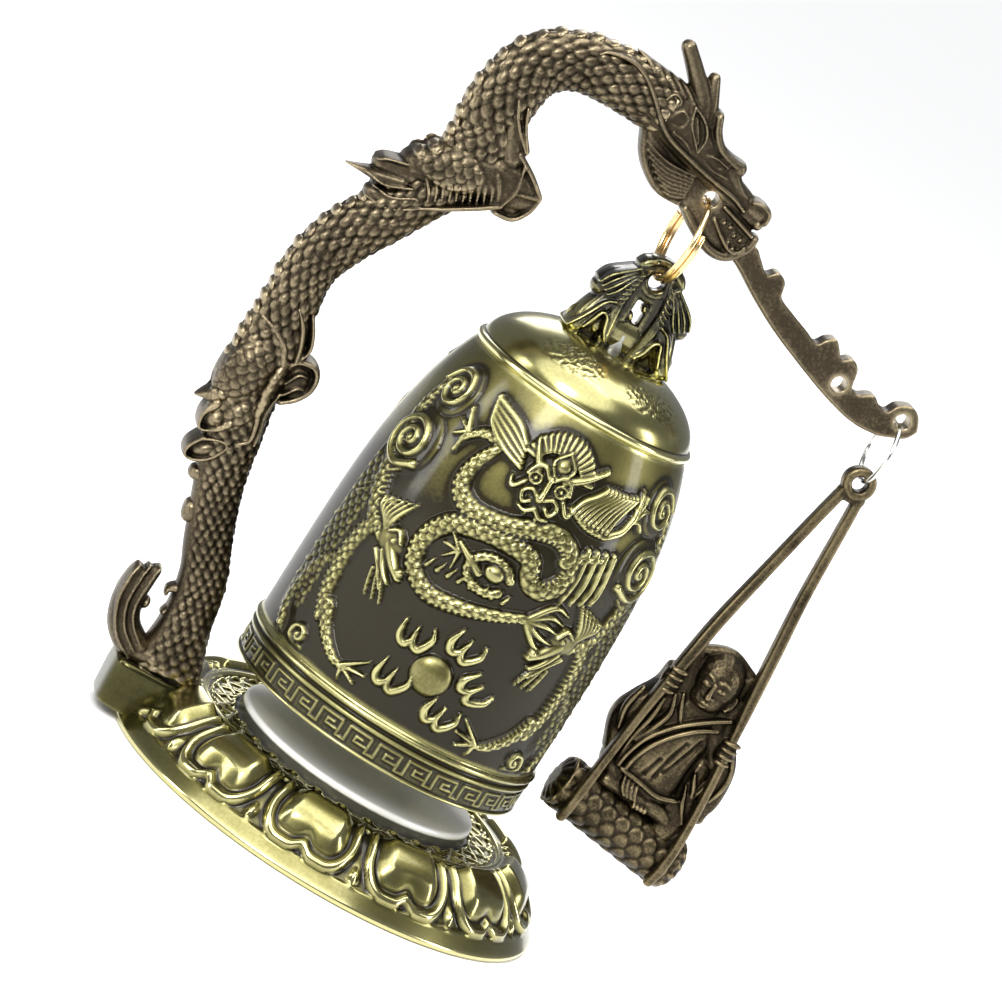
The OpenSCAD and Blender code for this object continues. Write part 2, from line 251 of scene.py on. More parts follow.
def point_normals(mesh):
    """The unit normal at each point of the mesh."""
    normal = np.empty(3 * len(mesh.vertices))
    mesh.vertex_normals.foreach_get("vector", normal)
    return normal.reshape(-1, 3)


def mark_wear_and_shade(piece, near, far=None, tone=0.0):
    """Writes the wear and shade attribute: how far each point stands over its smoothed
    surroundings, in units of near mm for fine detail and far mm for broad forms. Edges are +, lows
    -, and tone, one value or one for each point, is added to it; on the bell wall and the lug that
    tone holds painted shade."""
    place, touching, sum_near = surroundings(piece.data)
    place = place / MM
    normal = point_normals(piece.data)
    soft = place.copy()
    lift = np.zeros(len(place))
    near_rounds, far_rounds = 6, 36
    for done in range(1, far_rounds + 1):
        soft = 0.4 * soft + 0.6 * sum_near(soft) / touching
        if done == near_rounds:
            lift += np.clip(((place - soft) * normal).sum(1) / near, -1, 1) * 0.6
    lift += np.clip(((place - soft) * normal).sum(1) / (far or 4 * near), -1, 1) * 0.6
    wear_and_shade = piece.data.attributes.new("wear_and_shade", "FLOAT", "POINT")
    wear_and_shade.data.foreach_set("value", np.clip(lift + tone, -1, 1).astype(np.float32))


def antique(name, deep, middle_tone, bright, gloss, coat, speckle=0.35, grain=0.12,
            grain_scale=2.2):
    """Brass or bronze with a dark finish rubbed off its edges. The wear and shade attribute, which
    also holds painted shade on the bell wall and the lug, and two noises, a fine grain and broad
    clouds, pick the tone and how rough it is."""
    material, tree, bsdf = shader(name)
    node, link = tree.nodes.new, tree.links.new
    place = node("ShaderNodeTexCoord").outputs["Object"]
    wear_and_shade = node("ShaderNodeAttribute")
    wear_and_shade.attribute_name = "wear_and_shade"

    def noise(scale_per_mm, detail):
        cloud = node("ShaderNodeTexNoise")
        cloud.inputs["Scale"].default_value = scale_per_mm / MM
        cloud.inputs["Detail"].default_value = detail
        link(place, cloud.inputs["Vector"])
        return cloud.outputs["Fac"]

    def sums(kind, one, two):
        step = node("ShaderNodeMath")
        step.operation = kind
        for socket, value in zip(step.inputs, (one, two)):
            if hasattr(value, "links"):
                link(value, socket)
            else:
                socket.default_value = value
        return step.outputs[0]

    fine = noise(grain_scale, 4)
    broad = noise(0.16, 3)
    tone = sums("MULTIPLY_ADD", wear_and_shade.outputs["Fac"], 0.5)
    tone.node.inputs[2].default_value = 0.5
    tone = sums("ADD", tone, sums("MULTIPLY", sums("SUBTRACT", fine, 0.5), speckle))
    tone = sums("ADD", tone, sums("MULTIPLY", sums("SUBTRACT", broad, 0.5), speckle))
    ramp = node("ShaderNodeValToRGB")
    stops = ramp.color_ramp.elements
    stops[0].position, stops[0].color = 0.18, (*deep, 1)
    stops[1].position, stops[1].color = 0.86, (*bright, 1)
    mid = stops.new(0.50)
    mid.color = (*middle_tone, 1)
    link(tone, ramp.inputs["Fac"])
    link(ramp.outputs["Color"], bsdf.inputs["Base Color"])
    rough = node("ShaderNodeMapRange")
    rough.inputs["From Min"].default_value, rough.inputs["From Max"].default_value = 0.2, 0.8
    rough.inputs["To Min"].default_value, rough.inputs["To Max"].default_value = gloss
    link(tone, rough.inputs["Value"])
    link(rough.outputs["Result"], bsdf.inputs["Roughness"])
    bsdf.inputs["Metallic"].default_value = 1.0
    bsdf.inputs["Coat Weight"].default_value = coat
    bsdf.inputs["Coat Roughness"].default_value = 0.12
    bump = node("ShaderNodeBump")
    bump.inputs["Strength"].default_value = grain
    bump.inputs["Distance"].default_value = 0.1 * MM
    link(fine, bump.inputs["Height"])
    link(bump.outputs["Normal"], bsdf.inputs["Normal"])
    return material


def dress(piece, material, body, slot, *nodes):
    """Gives a piece its material and its body, and hides the CAD nodes that it stands for. Its slot
    is not used.
    """
    piece.data.materials.clear()
    piece.data.materials.append(material)
    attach(piece, body)
    if nodes:
        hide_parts(*nodes)


petals = 12
petal_pitch = 360 / petals
petal_turn = 17
petal_angle = 12.4
base_r, rim_h, ring_r, ring_z = 33.0, 0.8, 23.5, 8.7
wave_z, wave_inner_r = 8.0, 17.7
base_wall = 1.8
rise = np.linspace(0, 1, 40)
outer_slope = np.stack([base_r - (base_r - ring_r) * rise,
                        rim_h + (ring_z - rim_h) * np.sin(rise * np.pi / 2)], 1)
inner_slope = outer_slope[::-1] - [base_wall, base_wall * 0.7]
base_profile = np.concatenate([
    spread(np.concatenate([[[0.6, 6.2], [21.5, 6.2]], inner_slope[1:], [[31.2, 0.0]]]), 2.2),
    spread([[31.2, 0.0], [32.7, 0.0], [33.0, 0.25]], 0.6)[1:],
    spread(outer_slope, 0.17),
    spread([[23.5, 8.7], [23.3, 8.9], [22.9, 8.7], [22.7, wave_z], [wave_inner_r, wave_z]],
           0.2)[1:],
    spread([[wave_inner_r, wave_z], [0.6, wave_z]], 3)[1:],
])
base_columns = 720
turn = np.linspace(0, 360, base_columns, endpoint=False)[None, :]
r = base_profile[:, :1]
z = base_profile[:, 1:2]
on_top = ease(0.3, 0.9, z) * (np.arange(len(base_profile))[:, None] > 12)
across = r * np.radians((turn + petal_turn + petal_pitch / 2) % petal_pitch - petal_pitch / 2)
petal_end, corner = 31.05, 3.4
side_gap = np.abs(across) - r * np.radians(petal_angle) + corner


def round_corner(tip_gap):
    """How far a place is outside a petal: over its side or its tip, whichever is further, and
    round a corner where it is past both. Negative inside."""
    return np.where((side_gap > 0) & (tip_gap > 0), np.hypot(side_gap, tip_gap),
                    np.maximum(side_gap, tip_gap)) - corner


edge = round_corner(r - (petal_end - 0.75 * ridge(across, 1.0)) + corner)
pillow = round_corner(r - petal_end + 0.25 * ridge(across, 1.6) + corner)
petal = (0.62 * ridge(edge, 0.50) - 0.25 * ridge(edge + 0.85, 0.34)
         + 1.15 * ease(0.75, 2.9, -pillow)
         - 0.40 * ease(0.35, 0.8, edge) * ease(0.1, 0.7, 31.7 - r))
between = r * np.radians((turn + petal_turn) % petal_pitch - petal_pitch / 2)
petal += 0.85 * ridge(np.hypot(between, (r - 30.4) * 0.8), 0.6)
petal = petal * ease(23.9, 24.7, r) * (1 - ease(31.4, 31.8, r))
lattice = np.abs(np.sin(np.radians(turn * 15 + (r - 20) * 62))) ** 6
lattice = np.maximum(lattice, np.abs(np.sin(np.radians(turn * 15 - (r - 20) * 62))) ** 6)
waves = 0.34 * lattice + 0.35 * ridge(r - 22.2, 0.22) + 0.3 * ridge(r - 18.7, 0.25)
waves = waves * ease(18.2, 18.6, r) * (1 - ease(22.3, 22.7, r)) * (z > wave_z - 0.1)
# The left-hand side of the profile is the inside of the dish, so outward heights are negative.
base_rings = turned(base_profile, base_columns, -(petal * on_top) - waves)
base_points, base_faces = closed_tube(base_rings, (0, 0, 6.2), (0, 0, wave_z))
lotus_base = put_mesh("lotus_base", base_points, base_faces)
low = np.concatenate([((0.25 - 0.8 * (1 - ease(18.0, 18.8, r)) - 0.35 * ridge(r - 22.6, 0.5))
                       * (1 - ease(22.6, 23.0, r)) * (z > wave_z - 0.1)
                       + 0.10 * ease(31.4, 31.8, r) + 0 * turn).ravel(), [-0.5, -0.5]])
mark_wear_and_shade(lotus_base, 0.14, 0.55, low)
base_brass = antique("antique_brass_base", (0.014, 0.011, 0.006), (0.190, 0.172, 0.052),
                     (0.54, 0.50, 0.23), (0.36, 0.15), 0.5, 0.16, 0.04)
dress(lotus_base, base_brass, "stand", "antique_brass_base", "base")

# The lug that carries the column is part of the same casting: a rounded block at the left edge,
# flat on top for the column's foot. It's coloured darker than the dish all over: painted shade,
# for the shade under the column's foot and the tail's curl.
def squared(v, power):
    """A sine or cosine v made squarer, so that a circle becomes a superellipse of that power."""
    return np.sign(v) * np.abs(v) ** (2 / power)


lug_t = np.linspace(0, 2 * np.pi, 96, endpoint=False)
lug_rows = np.array([[0.86, 1.2], [0.93, 1.35], [0.95, 1.8], [0.97, 3.5], [1.0, 5.5], [1.0, 7.3],
                     [0.985, 7.75], [0.94, 7.97], [0.85, 8.0], [0.4, 8.0]])
lug_x, lug_half_x, lug_half_y, lug_power = -31.8, 5.2, 4.9, 4.5
lug_rings = np.stack([lug_x + lug_half_x * lug_rows[:, :1] * squared(np.cos(lug_t), lug_power),
                      lug_half_y * lug_rows[:, :1] * squared(np.sin(lug_t), lug_power),
                      lug_rows[:, 1:2] + 0 * lug_t], -1)
base_lug = put_mesh("base_lug", *closed_tube(lug_rings))
# A low tone and a darker copy of the base brass paint the lug's shade.
mark_wear_and_shade(base_lug, 1.2, 6.0, -0.45)
lug_painted_shade_brass = antique("lug_brass_painted_shade", (0.010, 0.009, 0.004), (0.070, 0.064, 0.022),
                    (0.34, 0.31, 0.12), (0.30, 0.18), 0.15, 0.2, 0.05)
dress(base_lug, lug_painted_shade_brass, "stand", "antique_brass_base")

# The disc under the bell is the raised middle of the dish, turned smooth and polished pale, with
# a rounded rim and a dark side wall.
disc_profile = np.concatenate([
    spread([[0.6, 7.2], [17.6, 7.2], [18.0, 7.4]], 1.5),
    spread([[18.0, 7.4], [18.0, 9.9]], 0.6)[1:],
    [[18.0 - 0.5 * (1 - np.cos(t)), 9.9 + 0.5 * np.sin(t)]
     for t in np.radians([20, 40, 60, 80, 90])],
    spread([[17.5, 10.4], [0.6, 10.4]], 0.8)[1:]])
disc_points, disc_faces = closed_tube(turned(disc_profile, 240), (0, 0, 7.2), (0, 0, 10.4))
base_disc = put_mesh("base_disc", disc_points, disc_faces)
disc_z = np.concatenate([np.repeat(disc_profile[:, 1], 240), [7.2, 10.4]])
mark_wear_and_shade(base_disc, 0.3, 1.0, -1.6 * ease(9.7, 9.3, disc_z))
disc_metal = antique("polished_disc", (0.05, 0.048, 0.04), (0.86, 0.85, 0.81), (0.95, 0.94, 0.91),
                     (0.42, 0.30), 0.3, 0.1, 0.03)
disc_metal.node_tree.nodes["Principled BSDF"].inputs["Metallic"].default_value = 0.25
dress(base_disc, disc_metal, "stand", "antique_brass_base")


# The bell's wall is one brass casting with dragons in relief round its side. It's shown as its
# moulded parts: the fret band at the mouth, two half walls, and the dome with the shoulder ring.
mouth_z, shoulder_z, seat_z = 15.6, 69.3, 76.3
mouth_r, shoulder_r, seat_r, bell_wall = 21.6, 16.0, 7.7, 2.0
band_top_z, wall_top_z = 21.9, 68.75
arc_mm = 0.3665
dragon_turn = -9.5


def bell_r(z):
    """The bell's radius, nearly straight at the mouth and closing in towards the shoulder."""
    return mouth_r - (mouth_r - shoulder_r) * ((z - mouth_z) / (shoulder_z - mouth_z)) ** 4.8


def smooth_path(points, steps=6):
    """Catmull-Rom curve through the rows of points."""
    p = np.asarray(points, float)
    if len(p) < 3:
        return p
    p = np.concatenate([2 * p[:1] - p[1:2], p, 2 * p[-1:] - p[-2:-1]])
    a, b, c, d = p[:-3, None], p[1:-2, None], p[2:-1, None], p[3:, None]
    t = (np.arange(steps) / steps)[None, :, None]
    curve = 0.5 * (2 * b + (c - a) * t + (2 * a - 5 * b + 4 * c - d) * t ** 2
                   + (3 * b - a - 3 * c + d) * t ** 3)
    return np.concatenate([curve.reshape(-1, p.shape[1]), p[-2:-1]])


def off_path(u, v, path):
    """For every point: its distance from a polyline of (u, v, half width) rows, signed to its
    left, the length run along it, and the half width there."""
    best = np.full(u.shape, 1e9)
    signed, run, half = np.zeros(u.shape), np.zeros(u.shape), np.ones(u.shape)
    gone = 0.0
    for (ua, va, wa), (ub, vb, wb) in zip(path[:-1], path[1:]):
        du, dv = ub - ua, vb - va
        length = max(np.hypot(du, dv), 1e-6)
        t = np.clip(((u - ua) * du + (v - va) * dv) / length ** 2, 0, 1)
        far = np.hypot(u - ua - t * du, v - va - t * dv)
        nearer = far < best
        side = np.sign((v - va) * du - (u - ua) * dv)
        best = np.where(nearer, far, best)
        signed = np.where(nearer, far * side, signed)
        run = np.where(nearer, gone + t * length, run)
        half = np.where(nearer, wa + t * (wb - wa), half)
        gone += length
    return signed, run, half


def tiled(along, across):
    """Round scales laid like roof tiles: rows half a unit apart, each row half a scale out of
    step. A scale climbs to its free end, at larger along, and drops there to the next row. Each
    point takes the first row that reaches it, so that row lies on top."""
    along, across = np.broadcast_arrays(along, across)
    height = np.zeros(along.shape)
    free = np.ones(along.shape, bool)
    first = np.ceil((along - 0.58) * 2)
    for k in range(3):
        row = first + k
        da = along - row / 2
        db = across - 0.5 * (row % 2)
        db = db - np.round(db)
        d2 = (da / 0.58) ** 2 + (db / 0.53) ** 2
        here = free & (d2 < 1)
        height = np.where(here, (0.55 + 0.8 * da) * np.clip(1 - d2, 0, 1) ** 0.22, height)
        free &= ~here
    return np.clip(height, 0, 1)


class Relief:
    """Heights in millimetres over a grid of places (u across, v up)."""

    def __init__(self, u, v):
        self.u, self.v, self.height = u, v, np.zeros(u.shape)

    def near(self, path, room):
        """The part of the grid that a path can reach."""
        low, high = path[:, :2].min(0) - room, path[:, :2].max(0) + room
        rows = np.where((self.v[:, 0] > low[1]) & (self.v[:, 0] < high[1]))[0]
        cols = np.where((self.u.max(0) > low[0]) & (self.u.min(0) < high[0]))[0]
        if len(rows) == 0 or len(cols) == 0:
            return None
        return slice(rows[0], rows[-1] + 1), slice(cols[0], cols[-1] + 1)

    def stroke(self, points, half, high, scale=0.0, flat=0.5):
        """A rounded stroke through (a, z) points. half is its half width, or one at each point;
        scale is the pitch of scales cut into it, and flat rounds its section."""
        p = np.asarray(points, float)
        widths = np.full(len(p), half) if np.isscalar(half) else np.asarray(half, float)
        path = smooth_path(np.column_stack([p[:, 0] * arc_mm, p[:, 1], widths]))
        part = self.near(path, widths.max() + 0.2)
        if part is None:
            return
        off, run, width = off_path(self.u[part], self.v[part], path)
        body = np.clip(1 - (off / np.maximum(width, 0.05)) ** 2, 0, 1) ** flat
        if scale:
            ladder = 0.55 + 0.30 * np.cos(2 * np.pi * run / (0.8 * scale))
            pattern = np.where(off < -0.5 * width, ladder,
                               tiled(run / (1.55 * scale), off / (1.45 * scale)))
            body = body * (0.52 + 0.60 * pattern)
        self.height[part] = np.maximum(self.height[part], high * body)

    def blob(self, a, z, wide, tall, high, tilt=0.0, flat=0.5):
        """A low dome with an elliptical outline."""
        c, s = np.cos(np.radians(tilt)), np.sin(np.radians(tilt))
        du, dv = self.u - a * arc_mm, self.v - z
        d2 = ((du * c + dv * s) / wide) ** 2 + ((dv * c - du * s) / tall) ** 2
        self.height = np.maximum(self.height, high * np.clip(1 - d2, 0, 1) ** flat)

    def curl(self, a, z, size, turns, high, half=0.45, start=0.0, way=1):
        """A cloud scroll that winds outwards from its middle."""
        t = np.linspace(0.0, 1, int(14 * turns))
        angle = np.radians(start) + way * t * turns * 2 * np.pi
        reach = size * (0.08 + 0.92 * t)
        spiral = np.column_stack([a + reach * np.cos(angle) / arc_mm, z + reach * np.sin(angle)])
        self.stroke(spiral[::2], half * (0.75 + 0.5 * t[::2]), high)
        self.blob(a, z, half * 1.5, half * 1.5, high)


def carve_front_dragon(relief):
    """The dragon that faces outwards: a round mask with fanned fins, and a scaled body that
    winds down below it to a knob, a clawed leg each side, and a feathered tail."""
    stroke, blob = relief.stroke, relief.blob
    c = dragon_turn
    body = [(-33, 60), (-37, 56.5), (-36, 53.2), (-28, 51.6), (-15, 52.2), (-3, 54), (6, 54.3),
            (13, 52.5), (14.5, 49.5), (9, 47.2), (3, 47.6), (-1, 50.2), (-12, 50.6), (-22, 50),
            (-32, 48.5), (-37, 45), (-35, 41.5), (-26, 39.4), (-14, 39.9), (-2, 41.3), (8, 42.8)]
    widths = [0.9, 1.2, 1.45] + [1.5] * 12 + [1.45, 1.4, 1.35, 1.2, 1.0, 0.8]
    stroke([(a - c, z) for a, z in body], widths, 1.05, scale=1.05)
    for spread_z in (45.6, 44.2, 42.8, 41.2, 39.8):
        stroke([(9 - c, 42.8), (17 - c, spread_z + 0.4), (24 - c, spread_z)], [0.6, 0.5, 0.15], 0.8)
    for k in range(17):
        t = np.radians(6 + k * 168 / 16)
        inner = (-8.5 - c + 3.5 * np.cos(t) / arc_mm, 61.6 + 2.4 * np.sin(t))
        outer = (-8.5 - c + 5.3 * np.cos(t) / arc_mm, 61.6 + 4.7 * np.sin(t))
        stroke([inner, outer], [0.42, 0.46], 0.95)
    m = -9.3 - c
    blob(m, 59.6, 3.6, 3.6, 0.85)
    blob(m, 57.2, 2.6, 1.6, 1.1)
    blob(m + 1.8, 62.7, 1.75, 1.65, 1.35, flat=0.7)
    stroke([(m + 1.8, 64.6), (m - 2.4, 62.7), (m + 1.6, 60.9), (m + 6.2, 62.7), (m + 1.8, 64.6)],
           0.26, 1.45)
    stroke([(m - 6.0, 60.8), (m - 9.0, 62.4), (m - 12.2, 64.2)], [0.75, 0.6, 0.3], 1.4)
    stroke([(m + 5.0, 61.0), (m + 12, 62.6), (m + 19.5, 64.8)], [0.75, 0.6, 0.25], 1.4)
    stroke([(m, 60.6), (m, 58.6), (m - 0.4, 57.6)], [0.5, 0.55, 0.85], 1.85)
    for way in (-1, 1):
        stroke([(m + way * 0.8, 60.4), (m + way * 4, 61.5), (m + way * 7.2, 61.2),
                (m + way * 8.8, 59.8)], 0.42, 1.6)
        ring = np.radians(np.arange(0, 361, 40))
        stroke(np.column_stack([m + way * 5.4 + 0.85 * np.cos(ring) / arc_mm,
                                59.7 + 0.75 * np.sin(ring)]), 0.27, 1.45)
        blob(m + way * 5.4, 59.7, 0.45, 0.45, 1.6)
        stroke([(m + way * 1.4, 57.7), (m + way * 4.4, 58.3), (m + way * 7.0, 57.5),
                (m + way * 5.4, 56.3), (m + way * 3.2, 56.8)], 0.40, 1.6)
        stroke([(m, 56.2), (m + way * 3.0, 55.4), (m + way * 6.0, 55.6)], [0.5, 0.45, 0.25], 1.35)
        stroke([(m + way * 2.0, 55.6), (m + way * 2.3, 54.7)], [0.32, 0.12], 1.2)
        stroke([(m + way * 8, 58.6), (m + way * 11.5, 57.2), (m + way * 13.5, 58.4)],
               [0.5, 0.42, 0.15], 1.1)
    for k in range(5):
        stroke([(-21.5 - 0.7 * k - c, 59.6 + 0.72 * k), (-32 - c, 60.7 + 0.86 * k),
                (-41 - 1.0 * k - c, 62.4 + 0.72 * k), (-43.5 - 0.6 * k - c, 64.2 + 0.35 * k)],
               [0.42, 0.52, 0.50, 0.30], 1.0 - 0.03 * k)
    for k in range(9):
        stroke([(3.2 + 2.1 * k - c, 58.0 - 0.05 * k), (5.8 + 2.1 * k - c, 59.9 + 0.06 * k),
                (10.4 + 2.2 * k - c, 61.4 + 0.20 * k), (13.5 + 1.9 * k - c, 62.9 + 0.02 * k)],
               [0.34, 0.50, 0.52, 0.25], 1.0)
    stroke([(3 - c, 58.4), (12 - c, 57.3), (21 - c, 57.0)], [0.5, 0.7, 0.5], 0.9, scale=0.8)
    stroke([(22 - c, 57.4), (27 - c, 58.6), (30 - c, 60.6)], [0.6, 0.55, 0.5], 1.0)
    for tip_a, tip_z in ((37, 62.3), (34.5, 64), (31, 64.6), (36, 59.4)):
        stroke([(30 - c, 60.4), ((30 + tip_a) / 2 - c + 0.5, (61 + tip_z) / 2 + 0.3),
                (tip_a - c, tip_z)], [0.5, 0.45, 0.16], 1.0)
    stroke([(-34 - c, 61), (-42 - c, 60.4), (-47 - c, 58.4)], [1.0, 0.8, 0.5], 1.0, scale=0.9)
    for reach, z in ((-52, 62.4), (-53, 60.4), (-51.5, 58.2), (-47, 56.4)):
        stroke([(-46.5 - c, 59.6), (reach - c, z)], [0.5, 0.16], 0.95)
    stroke([(11 - c, 52), (17 - c, 53.4), (24 - c, 54.2)], [1.1, 0.9, 0.6], 1.05, scale=0.9)
    for k in range(4):
        stroke([(17.5 + 4 * k - c, 54.6 + 0.2 * k), (18.5 + 4 * k - c, 50.5),
                (17 + 4 * k - c, 46.6 + 0.5 * k)], [0.55, 0.45, 0.14], 0.95)
    ring = np.radians(np.arange(20, 340, 30))
    stroke(np.column_stack([-10.5 - c + 2.9 * np.cos(ring) / arc_mm, 45.6 + 2.3 * np.sin(ring)]),
           0.75, 0.95, scale=0.9)
    blob(-9 - c, 46.2, 1.5, 1.3, 1.2)
    stroke([(-14 - c, 45.2), (-20 - c, 46.4), (-25 - c, 47.4)], [0.7, 0.6, 0.3], 0.9)
    for reach, z in ((-29, 48), (-30, 46.2), (-28, 44.5), (-23, 43.8)):
        stroke([(-23.5 - c, 46.3), (reach - c, z)], [0.4, 0.14], 0.85)
    for k in range(9):
        stroke([(-35 + 4.2 * k - c, 42.2 + 0.14 * k), (-33.5 + 4.2 * k - c, 43.5 + 0.14 * k)],
               [0.4, 0.1], 0.7)


def carve_pearl(relief):
    """The pearl with five three-pronged flames round it."""
    c = dragon_turn
    relief.blob(-9 - c, 30.2, 2.9, 2.9, 1.25)
    for a, z, tilt in ((-20.5, 33.7, 6), (-3.5, 35.7, -14), (7.2, 31.3, -38), (-20, 27.3, -6),
                       (1.2, 26.2, -12)):
        cos_t, sin_t = np.cos(np.radians(tilt)), np.sin(np.radians(tilt))
        for shape, widths in (
                ([(-1.9, 1.7), (-2.0, -0.6), (-1.1, -1.6), (-0.1, -0.7)], [0.16, 0.62, 0.70, 0.5]),
                ([(-0.1, 1.3), (-0.1, -0.8), (0.8, -1.6), (1.7, -0.7)], [0.16, 0.58, 0.70, 0.6]),
                ([(1.7, -0.7), (2.2, 0.5), (1.9, 1.9)], [0.6, 0.5, 0.16])):
            relief.stroke([(a - c + (x * cos_t - y * sin_t) / arc_mm, z + x * sin_t + y * cos_t)
                           for x, y in shape], widths, 0.85)


def carve_side_dragon(relief, way):
    """A climbing dragon at the side, mirrored by way: head towards the pearl, a scaled body up
    the edge of the wall, a leg below, and cloud scrolls over and under it."""
    def at(points):
        return [(way * (a - dragon_turn), z) for a, z in points]

    stroke = relief.stroke
    stroke(at([(-51, 41.5), (-57, 42.6), (-61, 38), (-59.5, 32), (-55.5, 28.2)]),
           [0.8, 1.35, 1.5, 1.4, 1.0], 1.0, scale=1.0)
    stroke(at([(-57, 42), (-66, 47), (-70, 52), (-74, 58), (-72, 64)]),
           [1.3, 1.7, 1.7, 1.4, 0.9], 0.95, scale=1.1)
    stroke(at([(-62, 36), (-70, 33), (-74, 27), (-70, 22.8)]), [1.0, 1.5, 1.4, 0.7], 0.9, scale=1.1)
    stroke(at([(-55, 30), (-50, 27.2), (-42, 25), (-36, 24.6)]), [1.3, 1.1, 0.8, 0.5], 0.95,
           scale=0.9)
    for tip_a, tip_z in ((-29, 27.4), (-28, 25.4), (-30, 23.6), (-36, 22.8)):
        stroke(at([(-37, 24.9), (tip_a, tip_z)]), [0.5, 0.15], 0.9)
    relief.blob(way * (-47 - dragon_turn), 42.2, 2.6, 2.1, 1.1, tilt=-18 * way)
    stroke(at([(-46, 41.6), (-41, 39.8), (-36.5, 38.6)]), [1.1, 0.9, 0.6], 1.15)
    stroke(at([(-47, 40.4), (-43, 38.4), (-39, 37.2)]), [0.6, 0.5, 0.3], 0.95)
    relief.blob(way * (-37 - dragon_turn), 39.4, 0.75, 0.65, 1.35)
    relief.blob(way * (-45 - dragon_turn), 42.4, 0.6, 0.55, 1.45)
    stroke(at([(-48.5, 43.2), (-45, 43.9), (-42, 42.6)]), 0.35, 1.35)
    for k in range(6):
        stroke(at([(-49 - 0.9 * k, 42 + 0.4 * k), (-50 - 1.6 * k, 44.6 + 0.1 * k),
                   (-45.5 - 2.6 * k, 47.9 - 0.3 * k)]), [0.55, 0.5, 0.14], 0.95)
    for k in range(3):
        stroke(at([(-43 - 2 * k, 38.2 - 0.2 * k), (-40 - 3 * k, 36.2), (-37.5 - 3.5 * k, 34.2)]),
               [0.32, 0.28, 0.1], 0.75)
    stroke(at([(-50, 40), (-45, 38.2), (-40.5, 36)]), [0.4, 0.35, 0.2], 0.9)
    u_side = way * relief.u / arc_mm + dragon_turn
    rough = ease(-62, -67, u_side) * ease(-81, -77, u_side) * ease(24, 28, relief.v)
    rough = rough * ease(53, 49, relief.v)
    bumps = tiled(-relief.v / 1.9, relief.u / 1.7)
    relief.height = np.maximum(relief.height, rough * (0.30 + 0.55 * bumps))
    for a, z, size in ((-65, 62.8, 3.9), (-66, 54.2, 4.9)):
        relief.blob(way * (a - dragon_turn), z, size, size, 0.62, flat=0.3)
    relief.curl(way * (-65 - dragon_turn), 62.8, 3.3, 2.0, 1.15, 0.52, 200 if way > 0 else -20, way)
    relief.curl(way * (-66 - dragon_turn), 54.2, 4.2, 2.3, 1.2, 0.62, 240 if way > 0 else -60, way)
    relief.curl(way * (-59 - dragon_turn), 24.2, 1.9, 1.6, 0.8, 0.42, 120 if way > 0 else 60, way)
    for k in range(5):
        stroke(at([(-74 + 2 * k, 44 + 1.5 * k), (-68 + 2.4 * k, 45.6 + 1.5 * k)]),
               [0.5, 0.12], 0.75)
        stroke(at([(-78, 30 + 2.4 * k), (-73, 31.6 + 2.4 * k)]), [0.55, 0.15], 0.7)


wall_rows = spread([[0, band_top_z], [0, wall_top_z]], 0.2)[:, 1]
wall_angle = np.linspace(-90, 90, 331)
relief = Relief(*np.meshgrid(wall_angle * arc_mm, wall_rows))
carve_front_dragon(relief)
carve_pearl(relief)
carve_side_dragon(relief, 1)
carve_side_dragon(relief, -1)
level_out = ease(0.3, 1.6, wall_rows - band_top_z) * ease(0.2, 1.0, wall_top_z - wall_rows)
wall_height = relief.height * level_out[:, None] * ease(0, 4, 90 - np.abs(wall_angle))[None, :]
inner_rows = np.linspace(wall_top_z, band_top_z, 12)
raised = np.clip(wall_height / 0.8, 0, 1).T
ground_tone_and_shade = -0.72 + 0.62 * ease(46, 60, wall_rows)[None, :]
# A blur of about a millimetre that spreads painted shade from the relief out onto the ground round
# it.
relief_shade_reach = 12
relief_shade_kernel = ridge(np.arange(-relief_shade_reach, relief_shade_reach + 1) * 0.2, 1.1)
relief_shade_kernel /= relief_shade_kernel.sum()


def blurred(field):
    """The field averaged over about a millimetre, first down its columns and then along its
    rows, with zeros past its edges."""
    for _ in range(2):
        padded = np.pad(field, ((relief_shade_reach, relief_shade_reach), (0, 0)))
        field = sum(share * padded[k:k + len(field)] for k, share in enumerate(relief_shade_kernel)).T
    return field


# The ground is darkest close round the relief: dark finish left there, and painted shade beside the
# raised strokes.
ground_tone_and_shade = ground_tone_and_shade - np.clip(2.4 * blurred(raised), 0, 1)
wall_tone_and_shade = np.concatenate([raised * -0.16 + (1 - raised) * ground_tone_and_shade,
                            np.full((len(wall_angle), len(inner_rows)), -0.5)], 1).ravel()


def half_wall(middle_turn):
    """One half of the bell's wall: the relief outside, a plain wall inside, closed all round.
    Its rings are the wall's section, carried through half a turn."""
    angle = np.radians(wall_angle + middle_turn)[:, None]
    outer = bell_r(wall_rows)[None, :] + wall_height.T
    inner = bell_r(inner_rows)[None, :] - bell_wall + np.zeros((len(wall_angle), 1))
    r = np.concatenate([outer, inner], 1)
    z = np.concatenate([wall_rows, inner_rows])[None, :] + np.zeros((len(wall_angle), 1))
    rings = np.stack([hang_x + r * np.sin(angle), -r * np.cos(angle), z], -1)
    n, m = rings.shape[:2]
    faces = [grid_faces(n, m)]
    # Each end is a strip between the outer and inner edge, zipped from the bottom up. meets is
    # the inner point, counted from the bottom, that an outer point is zipped to.
    out_count, in_count = len(wall_rows), len(inner_rows)
    i = np.arange(out_count - 1)
    meets = np.minimum(np.arange(out_count) * in_count // out_count, in_count - 1)
    step_at = np.where(np.diff(meets))[0] + 1
    inner_from = m - 1 - np.arange(len(step_at))
    for base, turn_over in ((0, False), ((n - 1) * m, True)):
        strip = np.concatenate([np.stack([i, i + 1, m - 1 - meets[:-1]], 1),
                                np.stack([inner_from, step_at, inner_from - 1], 1)]) + base
        strip = strip if turn_over else strip[:, [0, 2, 1]]
        faces.append(np.column_stack([strip, np.full(len(strip), -1)]))
    points, faces = rings.reshape(-1, 3), np.concatenate(faces)
    return points, outward(points, faces)


